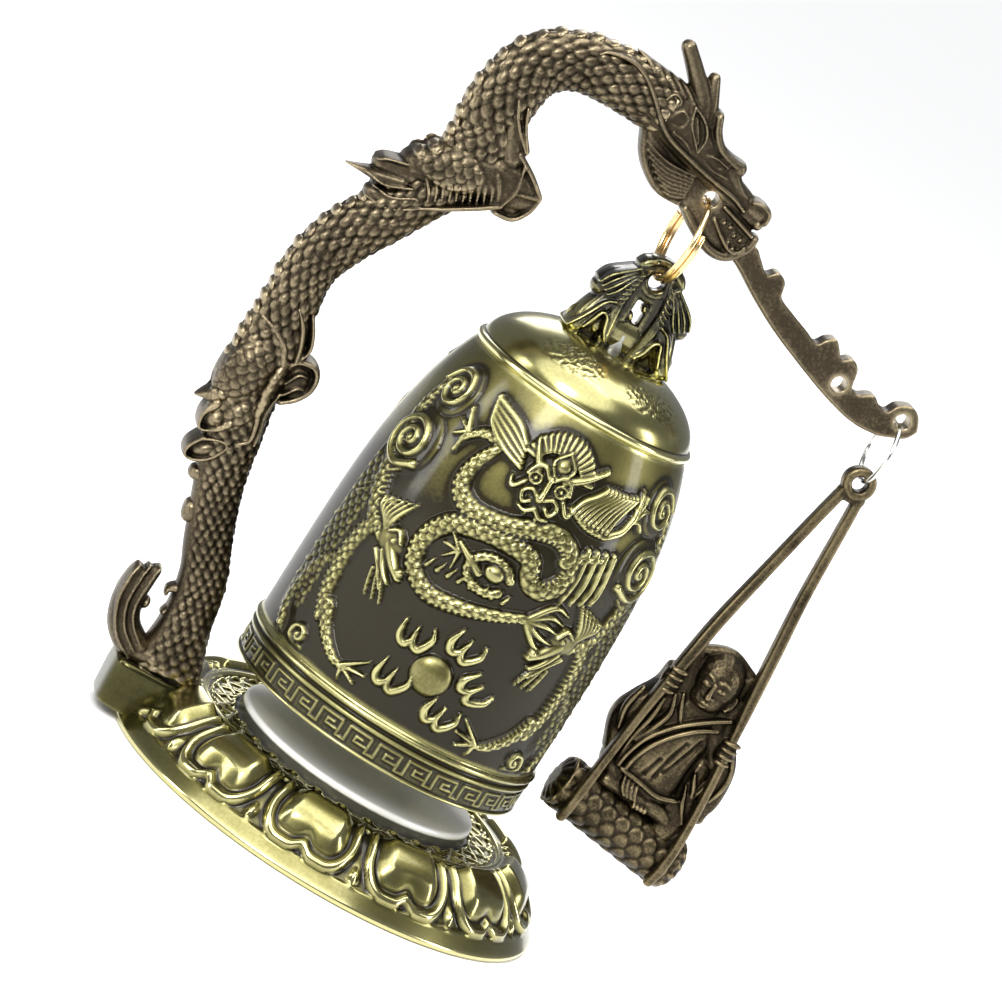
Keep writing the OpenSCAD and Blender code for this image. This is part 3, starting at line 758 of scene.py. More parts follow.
bell_brass = antique("antique_brass_bell", (0.022, 0.018, 0.009), (0.140, 0.127, 0.042),
                     (0.50, 0.47, 0.21), (0.56, 0.22), 0.35, 0.18, 0.05)
for name, middle_turn in (("bell_wall_front", dragon_turn), ("bell_wall_back", dragon_turn + 180)):
    wall_points, wall_faces = half_wall(middle_turn)
    half = put_mesh(name, wall_points, wall_faces)
    mark_wear_and_shade(half, 0.08, 1.6, wall_tone_and_shade)
    dress(half, bell_brass, "bell", "antique_brass_bell", "bell_shell")


# The mouth band is the thick lower rim of the same casting. It carries a bead, a running fret of
# hooked keys all round, and two beads over it.
def rounded_bead(z, middle_z, size, proud):
    """Height of a half-round bead round the bell."""
    return proud * np.sqrt(np.clip(1 - ((z - middle_z) / size) ** 2, 0, 1))


fret_units = 30
band_z = spread([[0, mouth_z + 0.25], [0, band_top_z]], 0.145)[:, 1]
band_turn = np.linspace(0, 360, 900, endpoint=False)
unit_mm = 2 * np.pi * mouth_r / fret_units
key_u = (band_turn / 360 * fret_units % 1) * unit_mm
one_unit = key_u[: len(key_u) // fret_units]
key = Relief(*np.meshgrid(one_unit, band_z))
hook = [(0.45, 16.7), (0.45, 18.85), (3.75, 18.85), (3.75, 17.35), (1.75, 17.35), (1.75, 18.05),
        (2.75, 18.05)]
for line in (hook, [(-0.4, 16.7), (0.45, 16.7)], [(3.75, 17.2), (3.75, 16.7), (4.9, 16.7)]):
    for (ua, va), (ub, vb) in zip(line[:-1], line[1:]):
        off, _, _ = off_path(key.u, key.v, [(ua, va, 1), (ub, vb, 1)])
        key.height = np.maximum(key.height, 0.24 * np.clip(1 - (off / 0.22) ** 2, 0, 1) ** 0.4)
fret = np.tile(key.height, (1, fret_units))
beads = (rounded_bead(band_z, 15.98, 0.3, 0.35) + rounded_bead(band_z, 19.85, 0.42, 0.40)
         + rounded_bead(band_z, 21.15, 0.5, 0.55))
band_out = (bell_r(band_z)[:, None] + fret + beads[:, None]
            - 0.12 * ridge(band_z - 20.5, 0.3)[:, None])
band_loop_z = np.concatenate([[mouth_z], band_z, [band_top_z, 19.0, mouth_z + 0.3, mouth_z]])
shift = np.zeros((1, len(band_turn)))
band_loop_r = np.concatenate([mouth_r - 0.35 + shift, band_out,
                              bell_r(band_top_z) - bell_wall + shift,
                              bell_r(19.0) - bell_wall + shift, mouth_r - bell_wall + shift,
                              mouth_r - bell_wall + 0.3 + shift])
angle = np.radians(band_turn)[None, :]
band_rings = np.stack([hang_x + band_loop_r * np.sin(angle), -band_loop_r * np.cos(angle),
                       band_loop_z[:, None] + shift], -1)
band_points = band_rings.reshape(-1, 3)
band_faces = outward(band_points, grid_faces(len(band_loop_z), len(band_turn), wrap_rows=True))
mouth_band = put_mesh("bell_mouth_band", band_points, band_faces)
mark_wear_and_shade(mouth_band, 0.12, 0.4, -0.40)
dress(mouth_band, bell_brass, "bell", "antique_brass_bell", "bell_shell")

# The dome closes the bell over its shoulder ring, and is polished brighter than the wall. Two
# worn scroll medallions are etched on it in front, and two behind.
dome_end = np.arccos(seat_r / shoulder_r)
dome_a = np.linspace(0.03, dome_end, 44)
dome_out = np.stack([shoulder_r * np.cos(dome_a),
                     shoulder_z + (seat_z - shoulder_z) * np.sin(dome_a) / np.sin(dome_end)], 1)
dome_in = dome_out[::-4] - [bell_wall, 0.9 * bell_wall]
shoulder = [[16.02, wall_top_z], [16.35, 68.78], [16.58, 69.0], [16.66, 69.3], [16.58, 69.6],
            [16.35, 69.82], [16.02, 69.88]]
dome_profile = np.concatenate([[[0.6, seat_z - 2.0]], dome_in, [[13.9, wall_top_z]],
                               spread(shoulder, 0.18), dome_out[2:], [[0.6, seat_z]]])
dome_columns = 540
turn = np.linspace(0, 360, dome_columns, endpoint=False)[None, :]
around = (turn + 180) % 360 - 180
etched = np.zeros((len(dome_profile), dome_columns))
on_dome = ((dome_profile[:, 1] > 70.6) & (dome_profile[:, 0] < 15.6)
           & (np.arange(len(dome_profile)) > 20))[:, None]
for middle_a in (-33, 27, 147, 207):
    du = ((around - middle_a + 180) % 360 - 180) * 0.22
    dv = (dome_profile[:, :1] - 12.4) * -1.15
    inside = 1 - ease(0.75, 1.0, np.hypot(du / 5.4, dv / 2.7))
    swirl = np.abs(np.sin(2.1 * du + 1.3 * np.sin(2.6 * dv))
                   * np.cos(2.9 * dv + 0.9 * np.sin(1.7 * du)))
    etched += inside * ease(0.30, 0.16, swirl) * 0.07
dome_points, dome_faces = closed_tube(turned(dome_profile, dome_columns, etched * on_dome, hang_x),
                                      (hang_x, 0, seat_z - 2.0), (hang_x, 0, seat_z))
bell_dome = put_mesh("bell_dome", dome_points, dome_faces)
mark_wear_and_shade(bell_dome, 0.07, 0.4, 0.05)
dome_brass = antique("bright_brass_dome", (0.03, 0.026, 0.011), (0.215, 0.196, 0.064),
                     (0.54, 0.51, 0.24), (0.34, 0.17), 0.5, 0.16, 0.04)
dress(bell_dome, dome_brass, "bell", "antique_brass_bell", "bell_shell")


# The crown is a separate dark casting, screwed to the dome from inside: two grooved leaves over
# flared legs, and the eye for the split ring between them.
def tube(path, power=2.0, sides=18, step=0.45, plain_ends=False):
    """A closed tube along rows of x, z, half width, half depth and an optional y. Its section is
    a superellipse of that power, and its ends are rounded like its width."""
    path = np.asarray(path, float)
    if path.shape[1] == 4:
        path = np.column_stack([path, np.zeros(len(path))])
    path = spread(smooth_path(path), step)
    along = np.gradient(path[:, :2], axis=0)
    along /= np.maximum(np.linalg.norm(along, axis=1), 1e-9)[:, None]
    if not plain_ends:
        lean = np.radians([22, 45, 66, 82])

        def cap(row, way, direction):
            out = np.repeat(row[None, :], len(lean), 0)
            out[:, :2] += way * direction * row[2] * np.sin(lean)[:, None]
            out[:, 2:4] *= np.cos(lean)[:, None]
            return out

        head, tail = cap(path[0], -1, along[0]), cap(path[-1], 1, along[-1])
        along = np.concatenate([np.repeat(along[:1], 4, 0), along, np.repeat(along[-1:], 4, 0)])
        path = np.concatenate([head[::-1], path, tail])
    t = np.linspace(0, 2 * np.pi, sides, endpoint=False)
    w = path[:, 2:3] * squared(np.cos(t), power)
    d = path[:, 3:4] * squared(np.sin(t), power)
    rings = np.stack([path[:, :1] - along[:, 1:2] * w, path[:, 4:5] + d,
                      path[:, 1:2] + along[:, :1] * w], -1)
    return closed_tube(rings)


def lump(x, z, wide, tall, depth, tilt=0.0, y=0.0, power=2.0):
    """An ellipsoid, or a boxier one with a higher power, turned in the arm's plane."""
    lat = np.linspace(-86, 86, 11) * np.pi / 180
    lon = np.linspace(0, 2 * np.pi, 16, endpoint=False)
    a = wide * squared(np.cos(lat), power)[:, None] * squared(np.cos(lon), power)[None, :]
    b = tall * squared(np.cos(lat), power)[:, None] * squared(np.sin(lon), power)[None, :]
    deep = depth * squared(np.sin(lat), power)[:, None] + np.zeros_like(a)
    c, s = np.cos(np.radians(tilt)), np.sin(np.radians(tilt))
    return closed_tube(np.stack([x + a * c - b * s, y + deep, z + a * s + b * c], -1))


def join(skins):
    """Several skins as one set of points and faces."""
    offset, points, faces = 0, [], []
    for p, f in skins:
        points.append(p)
        faces.append(np.where(f >= 0, f + offset, -1))
        offset += len(p)
    return np.concatenate(points), np.concatenate(faces)


def bake_modifiers(piece):
    """The piece's mesh with its modifiers applied."""
    shape = piece.evaluated_get(bpy.context.evaluated_depsgraph_get())
    mesh = bpy.data.meshes.new_from_object(shape)
    piece.modifiers.clear()
    piece.data = mesh
    mesh.shade_smooth()
    return piece


def fuse(name, skins, voxel, holes=()):
    """One casting from overlapping skins, remeshed on cubes of voxel mm, with each hole, given
    as (x, z, radius), bored through along Y."""
    piece = put_mesh(name, *join(skins))
    remesh = piece.modifiers.new("fuse", "REMESH")
    remesh.mode = "VOXEL"
    remesh.voxel_size = voxel * MM
    piece = bake_modifiers(piece)
    for x, z, radius in holes:
        t = np.linspace(0, 2 * np.pi, 40, endpoint=False)
        ends = np.stack([np.stack([x + radius * np.cos(t), np.full(40, y),
                                   z + radius * np.sin(t)], -1) for y in (-9.0, 9.0)])
        pin = put_mesh("pin", *closed_tube(ends))
        bore = piece.modifiers.new("bore", "BOOLEAN")
        bore.operation, bore.object, bore.solver = "DIFFERENCE", pin, "EXACT"
        piece = bake_modifiers(piece)
        bpy.data.objects.remove(pin)
        piece.data.set_sharp_from_angle(angle=np.radians(55))
    return piece


def settle(piece, rounds=2, lift=None):
    """Softens a remeshed piece a little, then moves each point by lift(points) mm along its
    normal."""
    mesh = piece.data
    place, touching, sum_near = surroundings(mesh)
    for _ in range(rounds):
        place = 0.5 * place + 0.5 * sum_near(place) / touching
    mesh.vertices.foreach_set("co", place.astype(np.float32).ravel())
    mesh.update()
    if lift is not None:
        place = place + point_normals(mesh) * lift(place / MM)[:, None] * MM
        mesh.vertices.foreach_set("co", place.astype(np.float32).ravel())
        mesh.update()


crown_eye_z = 87.2
crown = []
ring_t = np.linspace(0, 2 * np.pi, 25)
crown.append(tube(np.column_stack([1.8 * np.cos(ring_t), crown_eye_z + 1.85 * np.sin(ring_t),
                                   np.full(25, 0.72), np.full(25, 1.5)]), 3))
crown.append(tube([(-1.9, 89.6, 0.7, 1.7), (0, 90.0, 0.75, 1.7), (1.9, 89.6, 0.7, 1.7)], 2.6))
for way in (-1, 1):
    def side(rows):
        return [(way * x, *rest) for x, *rest in rows]

    crown.append(tube(side([(1.6, 89.6, 0.7, 1.9), (2.6, 88.9, 0.85, 2.1), (3.2, 88.3, 0.6, 2.0)]),
                      2.4))
    crown.append(tube(side([(2.2, 88.0, 0.7, 1.9), (3.6, 86.6, 0.95, 2.2), (5.1, 84.9, 1.6, 2.4),
                            (6.0, 83.4, 1.7, 2.3), (6.3, 82.9, 1.3, 2.0)]), 2.3))
    for off in (-1.0, -0.35, 0.3, 0.95):
        crown.append(tube(side([(2.7 + off * 0.3, 87.6 + off * 0.35, 0.24, 2.3),
                                (4.0 + off * 0.6, 86.2 + off * 0.55, 0.3, 2.65),
                                (5.3 + off * 0.95, 84.6 + off * 0.75, 0.34, 2.85),
                                (6.2 + off * 0.9, 83.2 + off * 0.55, 0.26, 2.6)]), 2.6, 12))
    crown.append(tube(side([(1.9, 88.2, 0.8, 1.8), (2.6, 86.0, 0.9, 2.1), (3.0, 83.6, 1.0, 2.2),
                            (2.9, 80.6, 1.0, 2.3), (2.5, 77.0, 1.1, 2.5)]), 2.4))
    for k in range(7):
        z = 86.9 - 0.75 * k
        crown.append(tube(side([(2.1 + 0.1 * k, z + 0.4, 0.24, 2.35), (3.5, z - 0.2, 0.24, 2.5)]),
                          2.4, 10))
    crown.append(tube(side([(3.6, 84.4, 1.4, 2.0), (4.7, 82.0, 1.6, 2.2), (5.7, 79.4, 1.7, 2.4),
                            (6.9, 76.9, 1.3, 2.6)]), 2.6))
    crown.append(tube(side([(3.6, 82.4, 0.34, 2.7), (4.9, 81.7, 0.36, 2.8), (6.2, 79.4, 0.36, 3.0),
                            (7.3, 77.6, 0.34, 3.1), (8.0, 76.6, 0.3, 3.0)]), 2.6, 12))
    crown.append(tube(side([(2.3, 77.0, 0.32, 3.0), (3.1, 78.2, 0.36, 3.1), (3.7, 80.0, 0.38, 3.1),
                            (4.6, 80.4, 0.38, 3.1), (5.2, 79.0, 0.38, 3.1),
                            (5.9, 77.4, 0.36, 3.1)]), 2.6, 12))
crown.append(tube([(-2.6, 78.6, 2.3, 1.5), (2.6, 78.6, 2.3, 1.5)], 3))
crown.append(tube([(-2.4, 85.0, 1.1, 1.3), (2.4, 85.0, 1.1, 1.3)], 3))
for way in (-1, 1):
    crown.append(tube([(way * 1.7, 79.5, 0.9, 1.3), (way * 1.7, 84.8, 0.9, 1.3)], 3))
crown += [tube([(-6.2, 78.0, 2.0, 0.7), (6.2, 78.0, 2.0, 0.7)], 3), lump(0, 77.6, 3.4, 1.8, 1.4)]
crown += [lump(-0.55, 81.4, 0.5, 0.8, 1.3, 20), lump(0.6, 83.2, 0.5, 0.7, 1.3, 20)]
crown = [(p + [hang_x, 0, 0], f) for p, f in crown]
flange = np.array([[0.5, 75.9], [6.3, 75.9], [6.6, 76.0], [6.6, 76.2], [6.3, 76.4], [0.5, 76.5]])
crown.append(closed_tube(turned(flange, 60, None, hang_x)))
crown_piece = fuse("crown", crown, 0.13)
settle(crown_piece, 1)
crown_z = surroundings(crown_piece.data)[0][:, 2] / MM
mark_wear_and_shade(crown_piece, 0.10, 0.45, 0.45 * ease(82.5, 78.5, crown_z) - 0.08)
crown_metal = antique("blackened_brass_crown", (0.008, 0.007, 0.005), (0.030, 0.026, 0.013),
                      (0.50, 0.46, 0.20), (0.36, 0.20), 0.5, 0.25, 0.06)
dress(crown_piece, crown_metal, "bell", "blackened_brass", "crown_loop")

# The split ring is gold-coloured spring wire wound one and a half turns, and the jump ring is
# one nickel turn. The two machine screws keep their CAD shapes, in plain zinc.
def wire_ring(middle, reach, wire_r, turns, start, side_step):
    """A round wire wound about the X axis: its angle runs over the turns from start, while it
    moves side_step millimetres along X for each turn."""
    t = np.linspace(0, 1, int(110 * turns))
    lap = 2 * np.pi * turns * t + np.radians(start)
    level_x = (t - 0.5) * turns * side_step
    x = middle[0] + level_x
    ring_mid = np.stack([x, reach * np.sin(lap), middle[2] + reach * np.cos(lap)], 1)
    out = np.stack([np.zeros_like(t), np.sin(lap), np.cos(lap)], 1)
    s = np.linspace(0, 2 * np.pi, 16, endpoint=False)
    rings = (ring_mid[:, None, :] + wire_r * (np.cos(s)[None, :, None] * out[:, None, :]
             + np.sin(s)[None, :, None] * np.array([1, 0, 0])))
    return closed_tube(rings)


def wire_metal(name, colour, gloss):
    """Drawn wire: bright metal with fine streaks and a little tarnish."""
    return antique(name, [0.45 * c for c in colour], colour, [min(1, 1.15 * c) for c in colour],
                   gloss, 0.0, 0.25, 0.05, 3.0)


split_ring = put_mesh("split_ring", *wire_ring((hang_x, 0, split_z), 6.2, 0.4, 1.62, 68, 0.79))
mark_wear_and_shade(split_ring, 0.2, 0.8)
dress(split_ring, wire_metal("gold_wire", (0.78, 0.58, 0.31), (0.30, 0.18)), "bell_ring",
      "gold_wire", "bell_split_ring")
jump_ring = put_mesh("jump_ring", *wire_ring((end_x, 0, jump_z), 4.6, 0.35, 0.994, 181, 0.02))
mark_wear_and_shade(jump_ring, 0.2, 0.8)
dress(jump_ring, wire_metal("nickel_wire", (0.62, 0.62, 0.60), (0.28, 0.16)), "striker_ring",
      "nickel_wire", "striker_jump_ring")
screw_metal = antique("zinc_screw", (0.25, 0.25, 0.24), (0.52, 0.52, 0.50), (0.7, 0.7, 0.68),
                      (0.35, 0.25), 0.0, 0.3, 0.1)
for node_name in ("column_screw", "crown_screw"):
    screw = frame["nodes"][node_name]
    for material_slot in screw.material_slots:
        material_slot.link = "OBJECT"
        material_slot.material = screw_metal


# The dragon is one bronze casting with the column. Its body is carried along a curve from the
# foot up the column, over the arch and into the neck, and rows of scales cover it.
body_path = [(-29.8, 8.3, 5.0, 3.4), (-30.1, 11, 4.3, 3.3), (-30.5, 14.5, 3.6, 3.2),
             (-31.1, 18.8, 3.3, 3.0), (-32.3, 23, 3.1, 2.9), (-34.1, 27, 3.1, 2.9),
             (-36.8, 34.1, 3.2, 3.0), (-38.9, 41.1, 3.9, 3.1),
             (-40.4, 47.1, 4.3, 3.2), (-40.8, 53.1, 4.5, 3.2), (-41.5, 60.2, 3.7, 3.1),
             (-41.7, 66.2, 3.5, 3.1), (-39.9, 71.7, 3.8, 3.1), (-36.9, 76.7, 3.7, 3.1),
             (-34.1, 81.7, 3.8, 3.1), (-31.7, 87.1, 4.3, 3.2), (-31.0, 91.7, 4.5, 3.2),
             (-31.6, 97.0, 4.4, 3.2), (-30.2, 103.4, 4.1, 3.2), (-25.6, 107.0, 3.8, 3.1),
             (-18.8, 107.9, 3.9, 3.1), (-12.0, 107.2, 3.6, 2.9)]
body_line = spread(smooth_path(body_path, 10), 0.225)
body_along = np.gradient(body_line[:, :2], axis=0)
body_along /= np.linalg.norm(body_along, axis=1)[:, None]
body_run = np.arange(len(body_line)) * 0.225
body_sides = 112
body_power = 2.5
# The points of a section are set at even steps along its girth, so that the scales are even too.
t = np.linspace(0, 2 * np.pi, body_sides, endpoint=False)
section = np.stack([4.0 * squared(np.cos(t), body_power), 3.1 * squared(np.sin(t), body_power)], 1)
steps = np.linalg.norm(np.diff(np.concatenate([section, section[:1]]), axis=0), axis=1)
girth = np.concatenate([[0], np.cumsum(steps)[:-1]]) / steps.sum()
t = np.interp(np.linspace(0, 1, body_sides, endpoint=False), np.append(girth, 1),
              np.append(t, 2 * np.pi))
wide, deep = squared(np.cos(t), body_power), squared(np.sin(t), body_power)
stud_columns = 14


def studs(along, across, columns, loose, long=0.70, wide=0.53, tilt=0.28):
    """Scales as rounded studs in staggered rows one unit apart, columns of them round the girth,
    each a little out of line and of its own size. 1 at the tops and 0 in the gaps."""
    best = np.zeros(np.broadcast(along, across).shape)
    for row_step in (-1, 0, 1):
        row = np.floor(along) + row_step
        stagger = 0.5 * (row % 2)
        for column_step in (-1, 0, 1):
            column = np.floor(across - stagger) + column_step
            seed = row * 127.1 + (column % columns) * 311.7
            one, two, three = (np.abs(np.sin(seed * k) * 4375.5) % 1 for k in (1.0, 1.3, 1.7))
            da = along - (row + 0.5 + loose * (2 * one - 1))
            dc = across - (column + 0.5 + stagger + loose * (2 * two - 1))
            dome = np.clip(1 - (da / long) ** 2 - (dc / wide) ** 2, 0, 1) ** 0.6
            best = np.maximum(best, dome * (0.74 + tilt * da + 0.3 * three))
    return best


around = np.arange(body_sides) / body_sides * stud_columns
stud_rows = np.cumsum(0.225 / (1.08 + 0.26 * ease(28, 60, body_run)))[:, None]
sway = 0.16 * np.sin(stud_rows * 1.7 + around[None, :] * 2.1) + 0.12 * np.sin(stud_rows * 0.61)
scaled = tiled(-0.5 * (stud_rows + sway), around[None, :] + 0.6 * sway)
knobbed = studs(stud_rows, around[None, :], stud_columns, 0.2, 0.8, 0.5, -0.3)
scaled = 0.75 * scaled + 0.45 * knobbed
spine = ease(0.55, 0.80, np.cos(t))[None, :] * ease(42, 34, body_run)[:, None]
scaled = scaled * (1 - spine) + 0.9 * spine * np.abs(np.cos(t))[None, :] ** 0.5
# The scales are lower on the side that the bell's mouth swings against.
rubbed = ridge(body_line[:, 1:2] - 17.3, 2.4) * ease(-0.1, -0.6, np.cos(t))[None, :]
bump = (0.66 - 0.34 * rubbed) * scaled - 0.12
w = (body_line[:, 2:3] - 0.25) * wide + bump * np.cos(t)
d = (body_line[:, 3:4] - 0.3) * deep + bump * np.sin(t)
body_rings = np.stack([body_line[:, :1] - body_along[:, 1:2] * w, d,
                       body_line[:, 1:2] + body_along[:, :1] * w], -1)
dragon_body = put_mesh("dragon_body", *closed_tube(body_rings))
mark_wear_and_shade(dragon_body, 0.16, 0.6, -0.10)
bronze = antique("antique_bronze", (0.010, 0.008, 0.005), (0.060, 0.047, 0.030),
                 (0.29, 0.235, 0.145), (0.52, 0.32), 0.0, 0.35, 0.25, 3.0)
dress(dragon_body, bronze, "stand", "antique_bronze", "dragon_arm")

# Low rounded plates cast on the body stand in a row along the dragon's back, and smaller ones
# along its throat.
plates = []
at = np.interp
for run in np.arange(44, body_run[-1] - 3, 1.85):
    x, z, half = (at(run, body_run, body_line[:, k]) for k in (0, 1, 2))
    tx, tz = (at(run, body_run, body_along[:, k]) for k in (0, 1))
    size = 0.62 + 0.16 * np.sin(run * 1.9)
    lean = np.degrees(np.arctan2(tz, tx)) + 16
    plates.append(lump(x - tz * (half - 0.25), z + tx * (half - 0.25), 1.05, size, 1.9, lean, 0,
                       2.2))
for run in np.arange(118, body_run[-1] - 3, 1.45):
    x, z, half = (at(run, body_run, body_line[:, k]) for k in (0, 1, 2))
    tx, tz = (at(run, body_run, body_along[:, k]) for k in (0, 1))
    plates.append(lump(x + tz * (half - 0.1), z - tx * (half - 0.1), 0.66, 0.62, 2.3, 0, 0, 2.4))
dragon_plates = put_mesh("dragon_plates", *join(plates))
mark_wear_and_shade(dragon_plates, 0.16, 0.7)
dress(dragon_plates, bronze, "stand", "antique_bronze", "dragon_arm")

# The head: skull, horns, brow, ear, nose and jaws, with a fanned beard behind the jaw and a long
# whisker that lies back along the neck. The jaw is bored for the bell's ring.
jaw_hole = (-0.8, split_top_z + 0.44)
head = [
    tube([(-15, 107.2, 3.3, 2.8), (-9.5, 106.7, 3.7, 3.0), (-4.5, 104.6, 2.9, 2.8),
          (-0.5, 103.0, 2.3, 2.4), (3.5, 101.9, 1.9, 2.1), (6.2, 101.0, 1.4, 1.9)], 2.6),
    tube([(-10.5, 102.6, 2.0, 1.3), (-7.5, 100.9, 2.8, 1.4), (-4.2, 100.2, 2.6, 1.6),
          (-0.8, 99.6, 3.4, 1.7), (2.6, 98.0, 3.2, 1.8), (5.6, 97.2, 2.2, 1.7)], 3),
    tube([(-7.6, 108.0, 1.7, 2.6), (-8.6, 110.8, 1.45, 2.1), (-11.4, 113.6, 1.2, 1.7),
          (-14.0, 116.0, 1.05, 1.3)], 2.3),
    tube([(-6.6, 108.6, 1.5, 2.3), (-7.7, 111.6, 1.05, 1.8), (-8.8, 114.2, 0.8, 1.2)], 2.3),
    tube([(-5.9, 110.4, 0.75, 2.6), (-5.0, 108.4, 0.8, 2.9), (-3.4, 106.8, 0.8, 3.0),
          (-1.1, 106.1, 0.85, 2.9), (0.4, 106.0, 0.9, 2.7)], 2.6),
    lump(0.2, 105.7, 1.25, 1.15, 2.7, 0, 0, 2.4),
    tube([(-0.6, 105.0, 1.3, 2.4), (1.4, 103.6, 1.0, 2.3), (3.0, 102.8, 0.8, 2.1)], 2.4),
    lump(5.4, 102.1, 1.9, 1.35, 2.4, -8, 0, 3),
    lump(6.5, 100.6, 0.85, 0.85, 2.5, 0, 0, 2.4),
    tube([(4.2, 102.9, 0.45, 2.6), (5.6, 103.2, 0.5, 2.7), (7.0, 102.6, 0.5, 2.7),
          (7.2, 101.2, 0.45, 2.6)], 2.4, 12),
    tube([(-24.4, 109.4, 0.32, 3.2), (-23.4, 110.3, 0.42, 3.3), (-20.1, 110.8, 0.5, 3.4),
          (-17.5, 110.0, 0.55, 3.5), (-14.9, 108.1, 0.6, 3.6), (-12.7, 106.1, 0.6, 3.6),
          (-10.4, 104.7, 0.6, 3.5), (-7.6, 103.9, 0.6, 3.4), (-4.0, 103.1, 0.58, 3.2),
          (-1.1, 102.6, 0.55, 3.0), (1.7, 102.1, 0.5, 2.9), (3.7, 101.3, 0.42, 2.7)], 2.6, 16),
    tube([(1.2, 100.5, 0.45, 2.4), (4.0, 99.7, 0.5, 2.5), (6.6, 98.9, 0.45, 2.4)], 2.6, 14),
    tube([(1.0, 98.4, 0.4, 2.2), (3.0, 96.9, 0.45, 2.4), (5.2, 95.8, 0.45, 2.4),
          (6.8, 96.6, 0.4, 2.2)], 2.6, 14),
    tube([(-3.1, 97.6, 0.6, 1.7), (-0.2, 95.9, 0.75, 1.9), (2.8, 94.6, 0.85, 2.1),
          (5.2, 94.9, 0.85, 2.1), (7.1, 96.9, 0.75, 2.0), (7.4, 98.8, 0.6, 1.9)], 2.6),
    tube([(-13.4, 103.8, 0.45, 1.7), (-11.7, 100.9, 0.55, 1.6), (-9.5, 99.0, 0.6, 1.6),
          (-7.2, 97.9, 0.6, 1.6), (-4.3, 97.8, 0.5, 1.6)], 2.6),
    tube([(-12.8, 104.0, 0.6, 2.2), (-10.2, 101.9, 1.6, 1.7), (-7.2, 100.2, 2.1, 1.5),
          (-4.6, 99.4, 1.6, 1.5)], 3),
]
for k in range(8):
    f = k / 7
    start = np.array([-12.6 + 5.6 * f, 102.8 - 4.7 * f ** 0.8])
    end = np.array([-4.4 + 0.3 * f, 102.0 - 3.2 * f])
    mid = 0.5 * (start + end) + np.array([-0.2, -0.6 + 0.3 * f])
    head.append(tube([(*start, 0.28, 1.9), (*mid, 0.36, 2.25), (*end, 0.24, 2.1)], 2.2, 12))
for k in range(5):
    head.append(lump(2.3 + 1.05 * k, 98.7 - 0.42 * k + 0.3 * (k % 2), 0.42, 0.62, 2.35, -20, 0,
                     2.4))
    head.append(lump(2.2 + 1.0 * k, 97.4 - 0.3 * k - 0.2 * (k % 2), 0.36, 0.5, 2.3, -20, 0, 2.4))
# Ear leaf with a sunk middle, cheek scrolls, eyelids and mane locks.
head += [
    tube([(-9.6, 109.9, 0.3, 2.9), (-8.9, 107.8, 0.42, 3.4), (-7.4, 106.1, 0.4, 3.5),
          (-6.2, 104.9, 0.3, 3.3)], 2.4, 12),
    tube([(-9.6, 109.9, 0.3, 2.9), (-7.5, 108.9, 0.42, 3.3), (-6.2, 107.2, 0.42, 3.5),
          (-6.1, 105.0, 0.3, 3.3)], 2.4, 12),
    tube([(-8.6, 108.8, 0.16, 3.2), (-6.8, 106.0, 0.2, 3.3)], 2.4, 10),
    tube([(-11.8, 107.2, 0.35, 3.1), (-10.9, 108.6, 0.4, 3.2), (-9.6, 108.1, 0.4, 3.2),
          (-9.8, 106.7, 0.35, 3.2), (-11.0, 106.5, 0.3, 3.1)], 2.4, 12),
    tube([(-13.6, 108.6, 0.35, 3.0), (-12.9, 110.0, 0.4, 3.0), (-11.6, 109.6, 0.38, 3.0),
          (-11.8, 108.4, 0.3, 2.9)], 2.4, 12),
    tube([(-10.4, 105.6, 0.5, 3.2), (-8.4, 105.3, 0.45, 3.2), (-6.9, 104.5, 0.3, 3.0)], 2.4, 12),
    tube([(-4.9, 105.3, 0.35, 3.0), (-3.2, 105.5, 0.4, 3.1), (-1.4, 105.2, 0.35, 3.0)], 2.4, 12),
    tube([(-4.9, 104.6, 0.3, 2.9), (-3.2, 103.9, 0.35, 3.0), (-0.9, 103.9, 0.3, 2.9)], 2.4, 12),
    lump(-2.4, 104.6, 0.8, 0.5, 2.75, -5),
]
for k in range(5):
    head.append(tube([(-9.8 - 1.7 * k, 110.0 + 0.25 * k, 0.75, 2.2),
                      (-11.3 - 1.7 * k, 111.1 + 0.2 * k, 0.5, 1.6),
                      (-12.8 - 1.7 * k, 111.9 + 0.1 * k, 0.15, 0.7)], 2.2, 12))
dragon_head = fuse("dragon_head", head, 0.15, [(*jaw_hole, 1.1)])
settle(dragon_head, 2)
mark_wear_and_shade(dragon_head, 0.13, 0.55)
dress(dragon_head, bronze, "stand", "antique_bronze", "dragon_arm")


# The legs are part of the casting too: the upper one holds on to the column with pointed claws,
# the lower one is folded over it, and each has a scaled thigh and flame-shaped fins.
def thigh_scales(x, z, wide, tall, pitch):
    """Scales, in mm, on the part of a piece near an ellipse's middle, fading at its rim."""
    def lift(place):
        u, v = place[:, 0] - x, place[:, 2] - z
        inside = 1 - ease(0.85, 1.1, np.hypot(u / wide, v / tall))
        rows = tiled(-v / (1.3 * pitch), (u + 0.2 * np.sin(1.9 * v)) / pitch)
        return 0.55 * inside * rows * (np.abs(place[:, 1]) > 1.2)
    return lift


